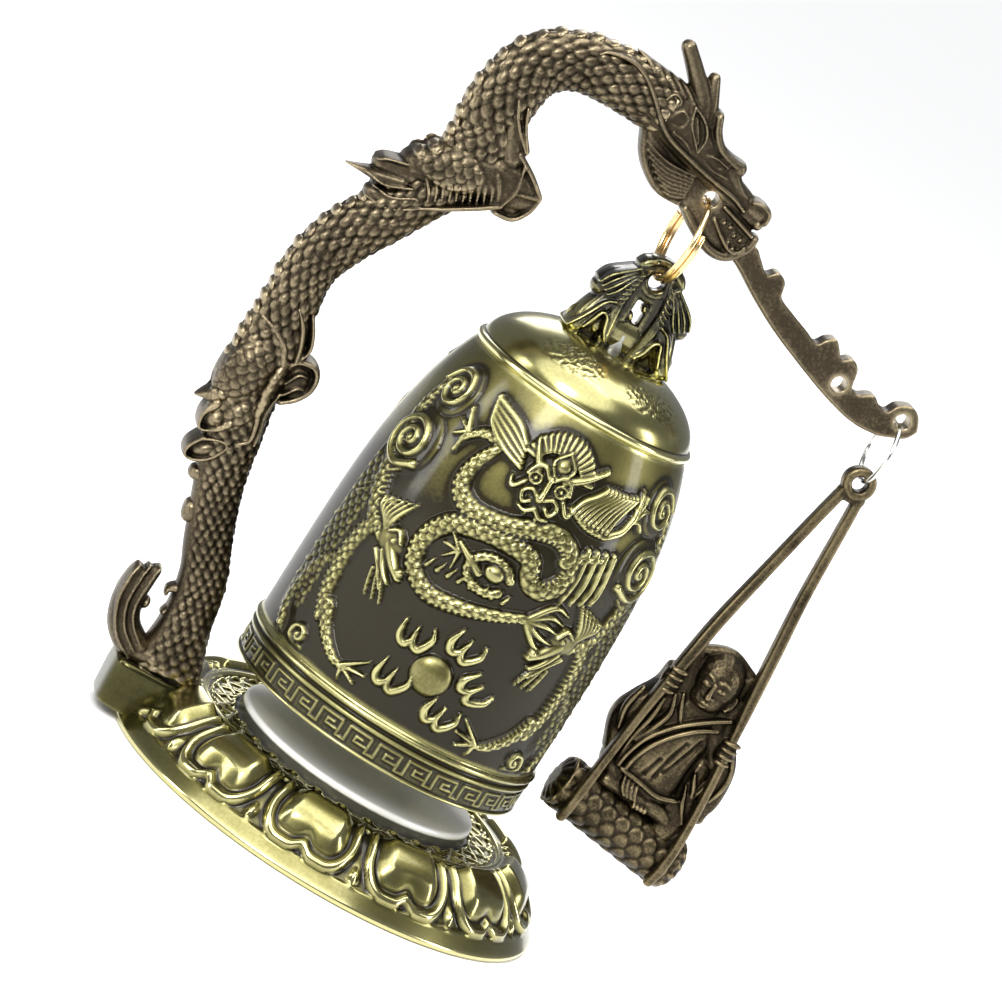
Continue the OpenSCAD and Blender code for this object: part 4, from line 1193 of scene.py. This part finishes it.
upper_leg = [
    tube([(-37.2, 84.6, 2.2, 3.6), (-35.0, 85.6, 3.2, 3.9), (-32.0, 86.8, 3.5, 3.9),
          (-28.6, 87.8, 3.2, 3.8), (-26.0, 88.4, 2.8, 3.5)], 2.4),
    tube([(-34.6, 79.8, 0.45, 3.4), (-31.0, 81.8, 0.55, 3.7), (-27.6, 83.9, 0.6, 3.7),
          (-24.8, 85.7, 0.6, 3.5)], 2.4),
    tube([(-27.6, 88.9, 2.6, 3.5), (-24.9, 88.4, 3.3, 3.5), (-22.6, 88.2, 2.3, 3.2),
          (-21.3, 88.3, 1.1, 2.9)], 3.4),
    tube([(-26.4, 92.9, 0.45, 3.4), (-23.4, 91.1, 0.5, 3.4), (-20.9, 89.2, 0.45, 3.1)], 3, 14),
    tube([(-24.6, 88.0, 0.4, 3.7), (-22.6, 88.5, 0.42, 3.6), (-20.9, 88.9, 0.4, 3.2)], 2.6, 12),
    tube([(-20.8, 89.0, 0.42, 3.1), (-21.2, 86.9, 0.5, 3.2), (-22.6, 84.9, 0.5, 3.1),
          (-25.0, 84.5, 0.45, 3.1)], 2.8, 14),
    tube([(-25.0, 91.8, 0.38, 3.7), (-24.3, 88.4, 0.42, 3.8), (-25.0, 85.6, 0.4, 3.7)], 2.6, 12),
    tube([(-26.0, 86.3, 1.9, 3.1), (-23.2, 86.3, 1.5, 2.8)], 2.6),
    tube([(-30.4, 98.9, 0.4, 3.5), (-28.6, 96.0, 0.5, 3.7), (-25.7, 93.4, 0.5, 3.5)], 2.6, 14),
    tube([(-28.7, 98.6, 0.35, 3.3), (-27.4, 95.9, 0.42, 3.5), (-25.6, 93.6, 0.4, 3.3)], 2.6, 14),
    tube([(-29.8, 97.4, 1.0, 3.1), (-28.4, 94.6, 1.7, 3.3), (-26.8, 91.6, 1.9, 3.4)], 2.4),
    tube([(-41.5, 82.4, 0.85, 2.1), (-39.6, 82.9, 1.2, 2.6), (-37.0, 83.4, 1.6, 3.2)], 2.8),
    tube([(-45.1, 80.2, 0.12, 0.6), (-43.2, 80.5, 0.45, 1.4), (-41.0, 80.9, 0.9, 2.4),
          (-37.6, 81.8, 1.3, 3.2)], 2.4),
    tube([(-40.5, 78.6, 0.8, 2.1), (-38.2, 79.0, 1.1, 2.8), (-34.8, 80.6, 1.3, 3.3)], 2.8),
    tube([(-41.9, 82.9, 0.3, 2.5), (-40.9, 83.6, 0.36, 2.9), (-38.4, 84.3, 0.36, 3.4)], 2.4, 12),
    tube([(-42.4, 80.7, 0.24, 2.3), (-39.6, 80.5, 0.34, 3.2), (-36.2, 81.9, 0.3, 3.7)], 2.4, 12),
    tube([(-40.6, 79.6, 0.24, 2.6), (-38.0, 79.5, 0.34, 3.2), (-35.2, 81.0, 0.3, 3.6)], 2.4, 12),
    tube([(-40.8, 77.9, 0.3, 2.4), (-37.8, 77.9, 0.38, 3.0), (-34.6, 79.6, 0.42, 3.5)], 2.4, 12),
    lump(-37.7, 86.2, 1.1, 0.9, 3.6, 30),
    lump(-36.2, 87.9, 1.1, 0.9, 3.7, 50),
]
for k in range(11):
    x, z = -33.6 + 0.80 * k, 81.4 + 0.46 * k
    upper_leg.append(tube([(x, z, 0.3, 3.4), (x - 0.7, z + 1.3 + 0.2 * (k % 2), 0.42, 3.9),
                           (x - 1.9, z + 2.6 + 0.5 * (k % 3), 0.25, 3.9)], 2.4, 10))
leg_piece = fuse("dragon_upper_leg", upper_leg, 0.18)
settle(leg_piece, 1, thigh_scales(-33.6, 86.9, 4.9, 2.9, 1.7))
mark_wear_and_shade(leg_piece, 0.13, 0.55)
dress(leg_piece, bronze, "stand", "antique_bronze", "dragon_arm")

lower_leg = [
    lump(-42.0, 49.9, 3.7, 5.6, 3.9, -4, 0, 2.3),
    lump(-39.9, 44.2, 2.4, 3.6, 3.4, -20, 0, 2.3),
    tube([(-38.2, 53.6, 0.65, 3.5), (-38.6, 50.2, 0.75, 3.8), (-38.2, 47.2, 0.75, 3.8),
          (-37.4, 44.3, 0.75, 3.6), (-37.0, 42.0, 0.6, 3.4), (-38.4, 40.6, 0.45, 3.3)], 2.4, 14),
    tube([(-36.8, 49.4, 0.45, 3.3), (-37.1, 46.6, 0.5, 3.4), (-36.4, 43.6, 0.5, 3.3),
          (-36.1, 41.6, 0.4, 3.1)], 2.4, 12),
    lump(-35.6, 51.8, 2.1, 2.8, 2.95, 0, 0, 2.5),
    tube([(-38.0, 53.0, 0.5, 3.3), (-36.7, 54.4, 0.6, 3.3), (-34.7, 54.7, 0.6, 3.2),
          (-33.6, 53.6, 0.6, 3.1), (-33.5, 51.6, 0.6, 3.1), (-34.6, 49.7, 0.6, 3.1),
          (-36.2, 48.4, 0.55, 3.2)], 2.4, 14),
    tube([(-37.0, 51.0, 0.35, 3.3), (-36.0, 52.9, 0.42, 3.4), (-34.8, 53.1, 0.35, 3.2)], 2.4, 12),
    tube([(-36.4, 49.6, 0.35, 3.3), (-35.3, 51.2, 0.42, 3.4), (-34.3, 51.4, 0.35, 3.1)], 2.4, 12),
    tube([(-46.1, 43.4, 0.12, 0.7), (-44.9, 44.3, 0.75, 2.1), (-43.4, 45.6, 1.0, 3.0)], 2.4),
    tube([(-43.2, 44.4, 0.45, 3.3), (-44.1, 42.2, 0.42, 3.0), (-43.5, 40.1, 0.35, 2.7),
          (-41.6, 41.1, 0.42, 3.2), (-40.4, 43.0, 0.45, 3.5)], 2.4, 12),
    lump(-42.4, 42.3, 1.9, 2.2, 3.1, -20),
    tube([(-42.4, 39.4, 0.42, 3.2), (-43.5, 37.4, 0.42, 2.9), (-43.3, 36.0, 0.38, 2.6),
          (-41.9, 36.1, 0.42, 2.9), (-40.2, 37.4, 0.45, 3.2), (-39.1, 39.8, 0.42, 3.4),
          (-40.6, 40.0, 0.42, 3.4), (-42.4, 39.2, 0.42, 3.2)], 2.4, 12),
    lump(-41.4, 38.0, 2.5, 1.5, 3.0, 40),
    tube([(-44.2, 57.4, 0.4, 2.8), (-41.8, 56.6, 0.7, 3.4), (-39.6, 55.2, 0.75, 3.5),
          (-38.3, 52.8, 0.5, 3.5)], 2.4, 12),
    tube([(-40.6, 60.6, 0.4, 3.2), (-38.8, 58.6, 0.62, 3.4), (-37.7, 56.2, 0.65, 3.4),
          (-37.2, 54.0, 0.5, 3.4)], 2.4, 12),
    tube([(-38.6, 60.8, 0.3, 3.1), (-37.2, 58.6, 0.42, 3.3), (-36.4, 56.4, 0.42, 3.3),
          (-36.9, 54.6, 0.35, 3.3)], 2.4, 12),
    lump(-40.2, 34.3, 1.3, 1.1, 1.8, 0, 0, 2.6),
    lump(-38.2, 29.4, 1.3, 1.7, 1.9, 12, 0, 2.8),
    tube([(-33.6, 19.6, 0.9, 1.8), (-35.3, 18.6, 0.55, 1.3), (-35.2, 17.7, 0.3, 1.0)], 2.4),
    tube([(-33.6, 16.4, 0.8, 1.6), (-34.3, 15.4, 0.5, 1.2)], 2.4),
]
leg_piece = fuse("dragon_lower_leg", lower_leg, 0.18)
settle(leg_piece, 1, thigh_scales(-41.4, 48.4, 3.9, 7.4, 1.6))
mark_wear_and_shade(leg_piece, 0.13, 0.55)
dress(leg_piece, bronze, "stand", "antique_bronze", "dragon_arm")

# The tail is the casting's lowest part: it curls up off the column's foot in two grooved prongs,
# just over the lug.
tail = [
    tube([(-31.5, 9.6, 1.7, 3.0), (-35.4, 9.0, 1.7, 2.8), (-38.3, 10.8, 1.6, 2.7),
          (-39.8, 13.8, 1.4, 2.5), (-40.2, 16.8, 1.15, 2.2), (-40.2, 19.0, 0.85, 1.7)], 2.4),
    tube([(-34.6, 9.8, 1.4, 2.8), (-37.2, 12.0, 1.3, 2.6), (-38.4, 15.0, 1.15, 2.4),
          (-38.3, 18.0, 1.0, 2.0), (-38.0, 19.9, 0.8, 1.5)], 2.4),
    lump(-36.9, 15.4, 0.6, 0.9, 1.5),
]
for k in range(3):
    tail.append(tube([(-35.4 + 0.2 * k, 7.9 + 1.25 * k, 0.28, 3.0),
                      (-38.8 + 0.75 * k, 10.5 + 1.0 * k, 0.42, 3.0),
                      (-40.7 + 1.2 * k, 14.4 + 0.3 * k, 0.44, 2.8),
                      (-40.8 + 1.35 * k, 18.0 + 0.3 * k, 0.36, 2.2),
                      (-40.4 + 1.3 * k, 19.6 + 0.5 * k, 0.25, 1.6)], 2.4, 12))
tail_piece = fuse("dragon_tail", tail, 0.18)
settle(tail_piece, 1)
mark_wear_and_shade(tail_piece, 0.13, 0.55)
dress(tail_piece, bronze, "stand", "antique_bronze", "dragon_arm")

# The beam is the casting's flat rail: plain satin faces with a narrow bevel, small flame-shaped
# lumps on its top edge, a spare hole, and the eye for the striker's ring.
beam_top = [(4.4, 97.2), (7.9, 98.0), (9.6, 96.9), (11.3, 95.6), (12.4, 96.5), (13.2, 96.5),
            (14.3, 95.7), (14.9, 93.9), (17.4, 92.8), (20.5, 91.7), (22.4, 91.0), (23.4, 92.2),
            (24.5, 92.8), (25.4, 92.2), (26.6, 90.9), (27.6, 91.5), (28.5, 91.5), (29.5, 90.6),
            (30.1, 88.3), (31.4, 87.9), (32.6, 88.6), (33.6, 88.8), (34.6, 88.1), (36.1, 87.9),
            (37.0, 89.3), (38.8, 90.1), (40.2, 89.5), (41.0, 88.3), (41.25, 87.5)]
beam_low = [(4.4, 95.4), (7.4, 94.4), (11.9, 91.8), (16.7, 89.4), (22.0, 87.3), (27.4, 85.4),
            (32.4, 84.2), (36.4, 84.3), (38.8, 85.1), (40.3, 85.8), (41.0, 86.7), (41.25, 87.4)]


def plate(low, high, half, bevel):
    """A closed flat rail between two edges given as (x, z) rows: an eight-sided section with
    bevelled corners, carried along X."""
    low, high = smooth_path(low), smooth_path(high)
    x = np.linspace(low[0, 0], low[-1, 0], 220)
    bottom = np.interp(x, low[:, 0], low[:, 1])
    top = np.maximum(np.interp(x, high[:, 0], high[:, 1]), bottom + 0.05)
    cut = np.minimum(bevel, 0.45 * (top - bottom))
    flat = np.full_like(x, half)
    y = np.stack([-flat, cut - flat, flat - cut, flat, flat, flat - cut, cut - flat, -flat], 1)
    z = np.stack([bottom + cut, bottom, bottom, bottom + cut, top - cut, top, top, top - cut], 1)
    return closed_tube(np.stack([np.repeat(x[:, None], 8, 1), y, z], -1))


spare_hole = (hang_x + 29.0, jump_top_z + 0.69)
end_hole = (end_x, jump_top_z + 0.59)
beam = fuse("beam_rail", [plate(beam_low, beam_top, 1.5, 0.28)], 0.15,
            [(*spare_hole, 1.1), (*end_hole, 1.1)])
settle(beam, 1)
mark_wear_and_shade(beam, 0.10, 0.35)
dress(beam, bronze, "stand", "antique_bronze", "dragon_arm")


# The striker is one casting, darker than the arm: an eye and two rods, a seated figure that holds
# the rods, and the log under it that strikes the bell. The rods are flat bars with round edges.
rods = []
striker_eye = (end_x, jump_z - 4.6 - 0.58)
ring_t = np.linspace(0, 2 * np.pi, 25)
rods.append(tube(np.column_stack([striker_eye[0] + 1.75 * np.cos(ring_t),
                                  striker_eye[1] + 1.75 * np.sin(ring_t),
                                  np.full(25, 0.72), np.full(25, 1.2)]), 3))
rods.append(tube([(37.5, 76.1, 0.75, 1.1, 0), (36.3, 70.5, 0.8, 1.0, 0),
                  (34.1, 60, 0.85, 1.0, -0.3),
                  (32.2, 52, 0.92, 1.1, -1.2), (30.9, 45.5, 0.92, 1.1, -2.2),
                  (29.5, 37, 0.72, 1.0, -2.9), (28.5, 28.5, 0.68, 1.0, -3.4),
                  (28.0, 23.6, 0.72, 0.9, -3.9), (27.6, 20, 0.72, 0.9, -4.2),
                  (27.5, 17.5, 0.7, 0.9, -3.4)], 3.4))
rods.append(tube([(39.9, 76.1, 0.75, 1.1, 0), (40.3, 70.5, 0.8, 1.0, 0),
                  (40.9, 60, 0.85, 1.0, -0.3),
                  (41.5, 52, 0.9, 1.1, -1.2), (42.1, 44, 0.85, 1.1, -2.2),
                  (42.7, 38, 0.66, 1.0, -2.7), (43.5, 30, 0.62, 1.0, -3.2),
                  (43.9, 22.4, 0.66, 0.9, -3.8), (43.6, 18, 0.74, 0.9, -4.2),
                  (43.3, 15.2, 0.7, 0.9, -3.4)], 3.4))
rods.append(tube([(37.3, 75.2, 0.9, 1.0), (40.1, 75.2, 0.9, 1.0)], 3))
striker_rods = fuse("striker_rods", rods, 0.15)
settle(striker_rods, 1)
mark_wear_and_shade(striker_rods, 0.10, 0.4)
dark_bronze = antique("dark_bronze", (0.009, 0.007, 0.004), (0.040, 0.031, 0.019),
                      (0.28, 0.222, 0.120), (0.50, 0.32), 0.0, 0.35, 0.22, 3.0)
dress(striker_rods, dark_bronze, "striker", "dark_bronze", "striker")

# The log hangs across the rods' ends and slopes down to the right. It's cast with rows of bark
# scales round it, and a ribbed knob on both ends.
slope = np.radians(9.5)
log_mid = np.array([35.5, 19.6])
log_dir = np.array([np.cos(slope), -np.sin(slope)])


log_long = np.linspace(-10.2, 10.2, 120)
log_t = np.linspace(0, 2 * np.pi, 120, endpoint=False)
bark = tiled((log_t * -6 / (2 * np.pi))[None, :], log_long[:, None] / 2.55)
bark_r = 3.3 + 0.95 * bark
axis_x = log_mid[0] + log_dir[0] * log_long[:, None]
axis_z = log_mid[1] + log_dir[1] * log_long[:, None]
log_rings = np.stack([axis_x + bark_r * np.sin(log_t) * np.sin(slope),
                      -0.2 + bark_r * np.cos(log_t) * 0.95,
                      axis_z + bark_r * np.sin(log_t) * np.cos(slope)], -1)
knobs = []
for end_s in (-11.0, 8.5):
    knob_long = np.linspace(0, 3.1, 15)
    knob_r = 3.6 * np.sin(np.pi * (0.03 + 0.94 * knob_long / 3.1)) ** 0.38
    knob_t = np.linspace(0, 2 * np.pi, 120, endpoint=False)
    ribs = 1 + 0.07 * np.sin(knob_t * 12)[None, :]
    x = log_mid[0] + log_dir[0] * (end_s + knob_long[:, None])
    z = log_mid[1] + log_dir[1] * (end_s + knob_long[:, None])
    knob_ring = knob_r[:, None] * ribs
    knobs.append(closed_tube(np.stack([x + knob_ring * np.sin(knob_t) * np.sin(slope),
                                       -0.2 + knob_ring * np.cos(knob_t),
                                       z + knob_ring * np.sin(knob_t) * np.cos(slope)], -1)))
log_piece = fuse("striker_log", [closed_tube(log_rings)] + knobs, 0.16)
settle(log_piece, 1)
mark_wear_and_shade(log_piece, 0.09, 0.35, -0.05)
dress(log_piece, dark_bronze, "striker", "dark_bronze", "striker")

# The figure sits on the log in a long robe and holds a rod in each hand. It's cast in one with
# them, and worn bright on its folds. Its face is plain and calm, made for this piece.
figure = [
    tube([(36.6, 39.8, 3.4, 2.6), (36.2, 36.5, 4.9, 3.2), (36.0, 32.0, 5.0, 3.5),
          (35.9, 28.6, 5.0, 3.5), (35.9, 27.0, 4.9, 3.4)], 2.5),
    tube([(33.4, 39.4, 1.8, 2.5), (31.4, 37.8, 2.2, 2.5), (29.8, 35.4, 2.2, 2.4)], 2.4),
    tube([(30.9, 42.4, 1.2, 1.8), (30.6, 39.6, 1.2, 2.2), (29.3, 36.2, 1.8, 2.4),
          (28.6, 33.2, 2.2, 2.2), (29.2, 29.0, 1.3, 2.0)], 2.6),
    tube([(39.8, 38.8, 2.0, 2.7), (41.8, 36.2, 2.1, 2.5), (43.2, 34.0, 1.9, 2.3)], 2.4),
    tube([(43.2, 37.0, 1.2, 2.0), (44.4, 33.6, 1.9, 2.3), (44.6, 30.2, 2.2, 2.4),
          (44.6, 27.4, 2.0, 2.2), (45.2, 25.8, 1.1, 1.8)], 3.2),
    tube([(30.4, 30.4, 1.8, 2.4), (30.6, 27.4, 2.0, 2.8), (32.0, 25.2, 1.8, 3.2)], 2.4),
    tube([(41.4, 32.0, 2.2, 2.4), (41.4, 28.4, 2.2, 2.8), (41.0, 25.4, 1.9, 3.0)], 2.4),
    tube([(30.4, 24.8, 1.3, 3.3), (34.2, 24.8, 1.6, 3.7), (36.6, 24.3, 1.4, 3.7)], 2.4),
    tube([(42.2, 23.4, 1.3, 3.3), (38.6, 24.4, 1.6, 3.7), (35.6, 24.1, 1.3, 3.7)], 2.4),
    tube([(32.2, 46.4, 1.2, 1.4), (33.4, 43.2, 2.2, 1.9), (34.0, 40.0, 2.2, 2.1)], 2.4),
    tube([(41.0, 46.4, 1.0, 1.4), (40.4, 43.0, 1.4, 1.8), (40.4, 40.0, 1.8, 2.1)], 2.4),
    tube([(32.6, 46.8, 0.7, 1.2), (36.8, 48.0, 0.9, 1.3), (40.8, 46.8, 0.7, 1.2)], 2.4),
    lump(36.8, 44.2, 3.75, 4.2, 3.7, 0, -0.3, 2.1),
    lump(36.5, 41.7, 3.0, 2.5, 3.2, 0, -0.6, 2.1),
    lump(36.5, 39.9, 2.4, 1.6, 2.4, 0, -0.2),
    tube([(39.6, 43.6, 0.28, 0.6, -1.9), (40.4, 43.2, 0.32, 0.7, -1.6),
          (40.3, 41.9, 0.32, 0.7, -1.6), (39.6, 41.1, 0.28, 0.6, -1.9)], 2.2, 12),
    lump(39.7, 42.4, 0.7, 1.1, 0.7, 0, -1.5),
    tube([(41.2, 42.6, 1.1, 1.2, -0.8), (41.6, 39.6, 1.2, 1.4, -1.0),
          (42.0, 37.6, 1.2, 1.5, -1.2)], 2.6),
    tube([(42.0, 27.6, 2.0, 2.0, -1.2), (42.2, 24.6, 2.0, 2.0, -1.4),
          (41.6, 22.4, 2.0, 2.0, -1.4)], 2.6),
]
# The lapel is one broad band with a rolled edge on both sides, across the chest from a shoulder.
lapel_out = [(41.2, 40.3), (38.9, 39.2), (36.6, 37.9), (34.2, 35.9), (31.9, 33.0), (30.8, 30.0),
             (30.5, 27.7)]
lapel_in = [(40.2, 38.2), (38.2, 37.4), (36.6, 36.5), (34.7, 34.7), (32.9, 32.2), (31.9, 29.7),
            (31.6, 27.4)]
for line, half, proud in ((lapel_out, 0.36, -3.25), (lapel_in, 0.40, -3.4)):
    run = np.linspace(0, 1, len(line))
    figure.append(tube([(x, z, half, 0.75, proud + 1.1 * (1 - ease(0, 0.35, f)) + 0.35 * f ** 3)
                        for (x, z), f in zip(line, run)], 2.2, 14))
fold_lines = [
    [(33.3, 40.4, 0.3, 0.6, -2.0), (33.9, 38.6, 0.36, 0.7, -2.5), (34.6, 37.2, 0.3, 0.6, -2.9)],
    [(32.3, 39.8, 0.3, 0.6, -2.1), (32.9, 37.2, 0.42, 0.7, -2.6), (32.0, 34.6, 0.42, 0.7, -2.9),
     (30.7, 31.8, 0.3, 0.6, -2.7)],
    [(31.2, 38.6, 0.3, 0.6, -2.1), (31.0, 35.6, 0.45, 0.7, -2.5), (30.2, 31.6, 0.4, 0.7, -2.5),
     (30.2, 27.8, 0.3, 0.6, -2.7)],
    [(31.2, 27.4, 0.36, 0.7, -3.1), (34.2, 27.0, 0.42, 0.8, -3.4), (37.6, 26.4, 0.42, 0.8, -3.4),
     (40.4, 27.0, 0.36, 0.7, -3.1)],
    [(44.2, 36.2, 0.3, 0.6, -2.0), (45.4, 33.4, 0.42, 0.7, -2.1), (45.3, 31.0, 0.42, 0.7, -2.3),
     (44.7, 29.0, 0.3, 0.6, -2.3)],
    [(40.7, 31.4, 0.3, 0.6, -2.7), (41.7, 29.6, 0.4, 0.7, -2.7), (42.3, 28.4, 0.35, 0.6, -2.6),
     (43.2, 31.0, 0.3, 0.6, -2.4)],
    [(40.4, 29.6, 0.3, 0.6, -2.8), (41.4, 27.0, 0.42, 0.7, -3.0), (42.9, 24.6, 0.3, 0.6, -3.0)],
    [(28.0, 38.4, 0.35, 0.6, -1.9), (27.3, 35.2, 0.5, 0.7, -2.0), (28.0, 32.0, 0.35, 0.6, -2.0)],
]
for rows in fold_lines:
    figure.append(tube(rows, 2.2, 12))
for k in range(4):
    figure.append(tube([(32.2 + 0.75 * k, 26.8 - 0.1 * k, 0.2, 0.5, -3.3),
                        (32.5 + 0.7 * k, 25.4, 0.32, 0.6, -3.6),
                        (33.4 + 0.6 * k, 24.3, 0.2, 0.5, -3.5)], 2.2, 10))
    figure.append(lump(30.7 - 0.04 * k, 43.2 - 1.06 * k, 1.5 - 0.08 * k, 0.46, 0.9, 4, -3.1))
    figure.append(lump(42.8 + 0.03 * k, 37.8 - 1.02 * k, 1.42 - 0.06 * k, 0.45, 0.9, 4, -3.3))
    figure.append(lump(35.4 + 0.62 * k, 23.7, 0.32, 0.5, 0.7, 0, -3.5))
figure.append(lump(30.6, 41.6, 1.55, 2.2, 1.3, 0, -2.3))
figure.append(lump(42.8, 36.3, 1.45, 2.1, 1.3, 0, -2.5))
# The face: level brows, lowered lids, a straight nose and a closed mouth, on even thirds.
face_x, eye_z = 35.9, 43.6


def skin(x, z, out=0.0):
    """The head's front surface at (x, z), moved out mm forward."""
    skull = 1 - ((x - 36.8) / 3.75) ** 2 - ((z - 44.2) / 4.2) ** 2
    jaw = 1 - ((x - 36.5) / 3.0) ** 2 - ((z - 41.7) / 2.5) ** 2
    return min(-0.3 - 3.7 * max(skull, 0) ** 0.5, -0.6 - 3.2 * max(jaw, 0) ** 0.5) - out


def feature(points, sides=12):
    """A rounded stroke on the face through (x, z, half width, how proud) points."""
    return tube([(x, z, half, 0.4, skin(x, z, 1.3 * proud - 0.3))
                 for x, z, half, proud in points], 2.2, sides)


figure += [
    feature([(face_x, eye_z + 0.3, 0.28, 0.15), (face_x - 0.05, eye_z - 0.9, 0.36, 0.42),
             (face_x - 0.05, eye_z - 1.6, 0.48, 0.48)]),
    feature([(face_x - 0.8, eye_z - 2.7, 0.16, 0.05), (face_x, eye_z - 2.6, 0.24, 0.22),
             (face_x + 0.8, eye_z - 2.7, 0.16, 0.05)], 10),
    feature([(face_x - 0.6, eye_z - 3.1, 0.16, 0.05), (face_x, eye_z - 3.2, 0.26, 0.22),
             (face_x + 0.6, eye_z - 3.1, 0.16, 0.05)], 10),
]
for way in (-1, 1):
    figure += [
        feature([(face_x + way * 0.5, eye_z + 0.95, 0.2, 0.12),
                 (face_x + way * 1.3, eye_z + 1.2, 0.26, 0.2),
                 (face_x + way * 2.2, eye_z + 0.85, 0.16, 0.05)], 10),
        feature([(face_x + way * 0.6, eye_z - 0.15, 0.15, 0.05),
                 (face_x + way * 1.3, eye_z - 0.05, 0.4, 0.2),
                 (face_x + way * 2.0, eye_z - 0.15, 0.15, 0.05)], 12),
        feature([(face_x + way * 0.55, eye_z - 1.65, 0.25, 0.2),
                 (face_x + way * 0.8, eye_z - 1.6, 0.2, 0.12)], 10),
    ]
figure_piece = fuse("striker_figure", figure, 0.15)


def robe_folds(place):
    """Soft grooves, in mm, pressed into the front of the robe along four lines."""
    lift = np.zeros(len(place))
    for line in ([(39.2, 35.6), (38.0, 32.6), (36.8, 29.8)], [(35.2, 31.0), (34.3, 28.2)],
                 [(40.4, 34.0), (40.1, 30.8), (40.4, 27.8)],
                 [(37.4, 34.6), (36.4, 31.6), (35.8, 28.4)]):
        path = smooth_path(np.array([(x, z, 0.5) for x, z in line], float))
        off, run, width = off_path(place[:, 0], place[:, 2], path)
        lift -= 0.42 * np.exp(-(off / 0.42) ** 2) * (place[:, 1] < -1.5)
    return lift


settle(figure_piece, 1, robe_folds)
mark_wear_and_shade(figure_piece, 0.12, 0.5)
dress(figure_piece, dark_bronze, "striker", "dark_bronze", "striker")
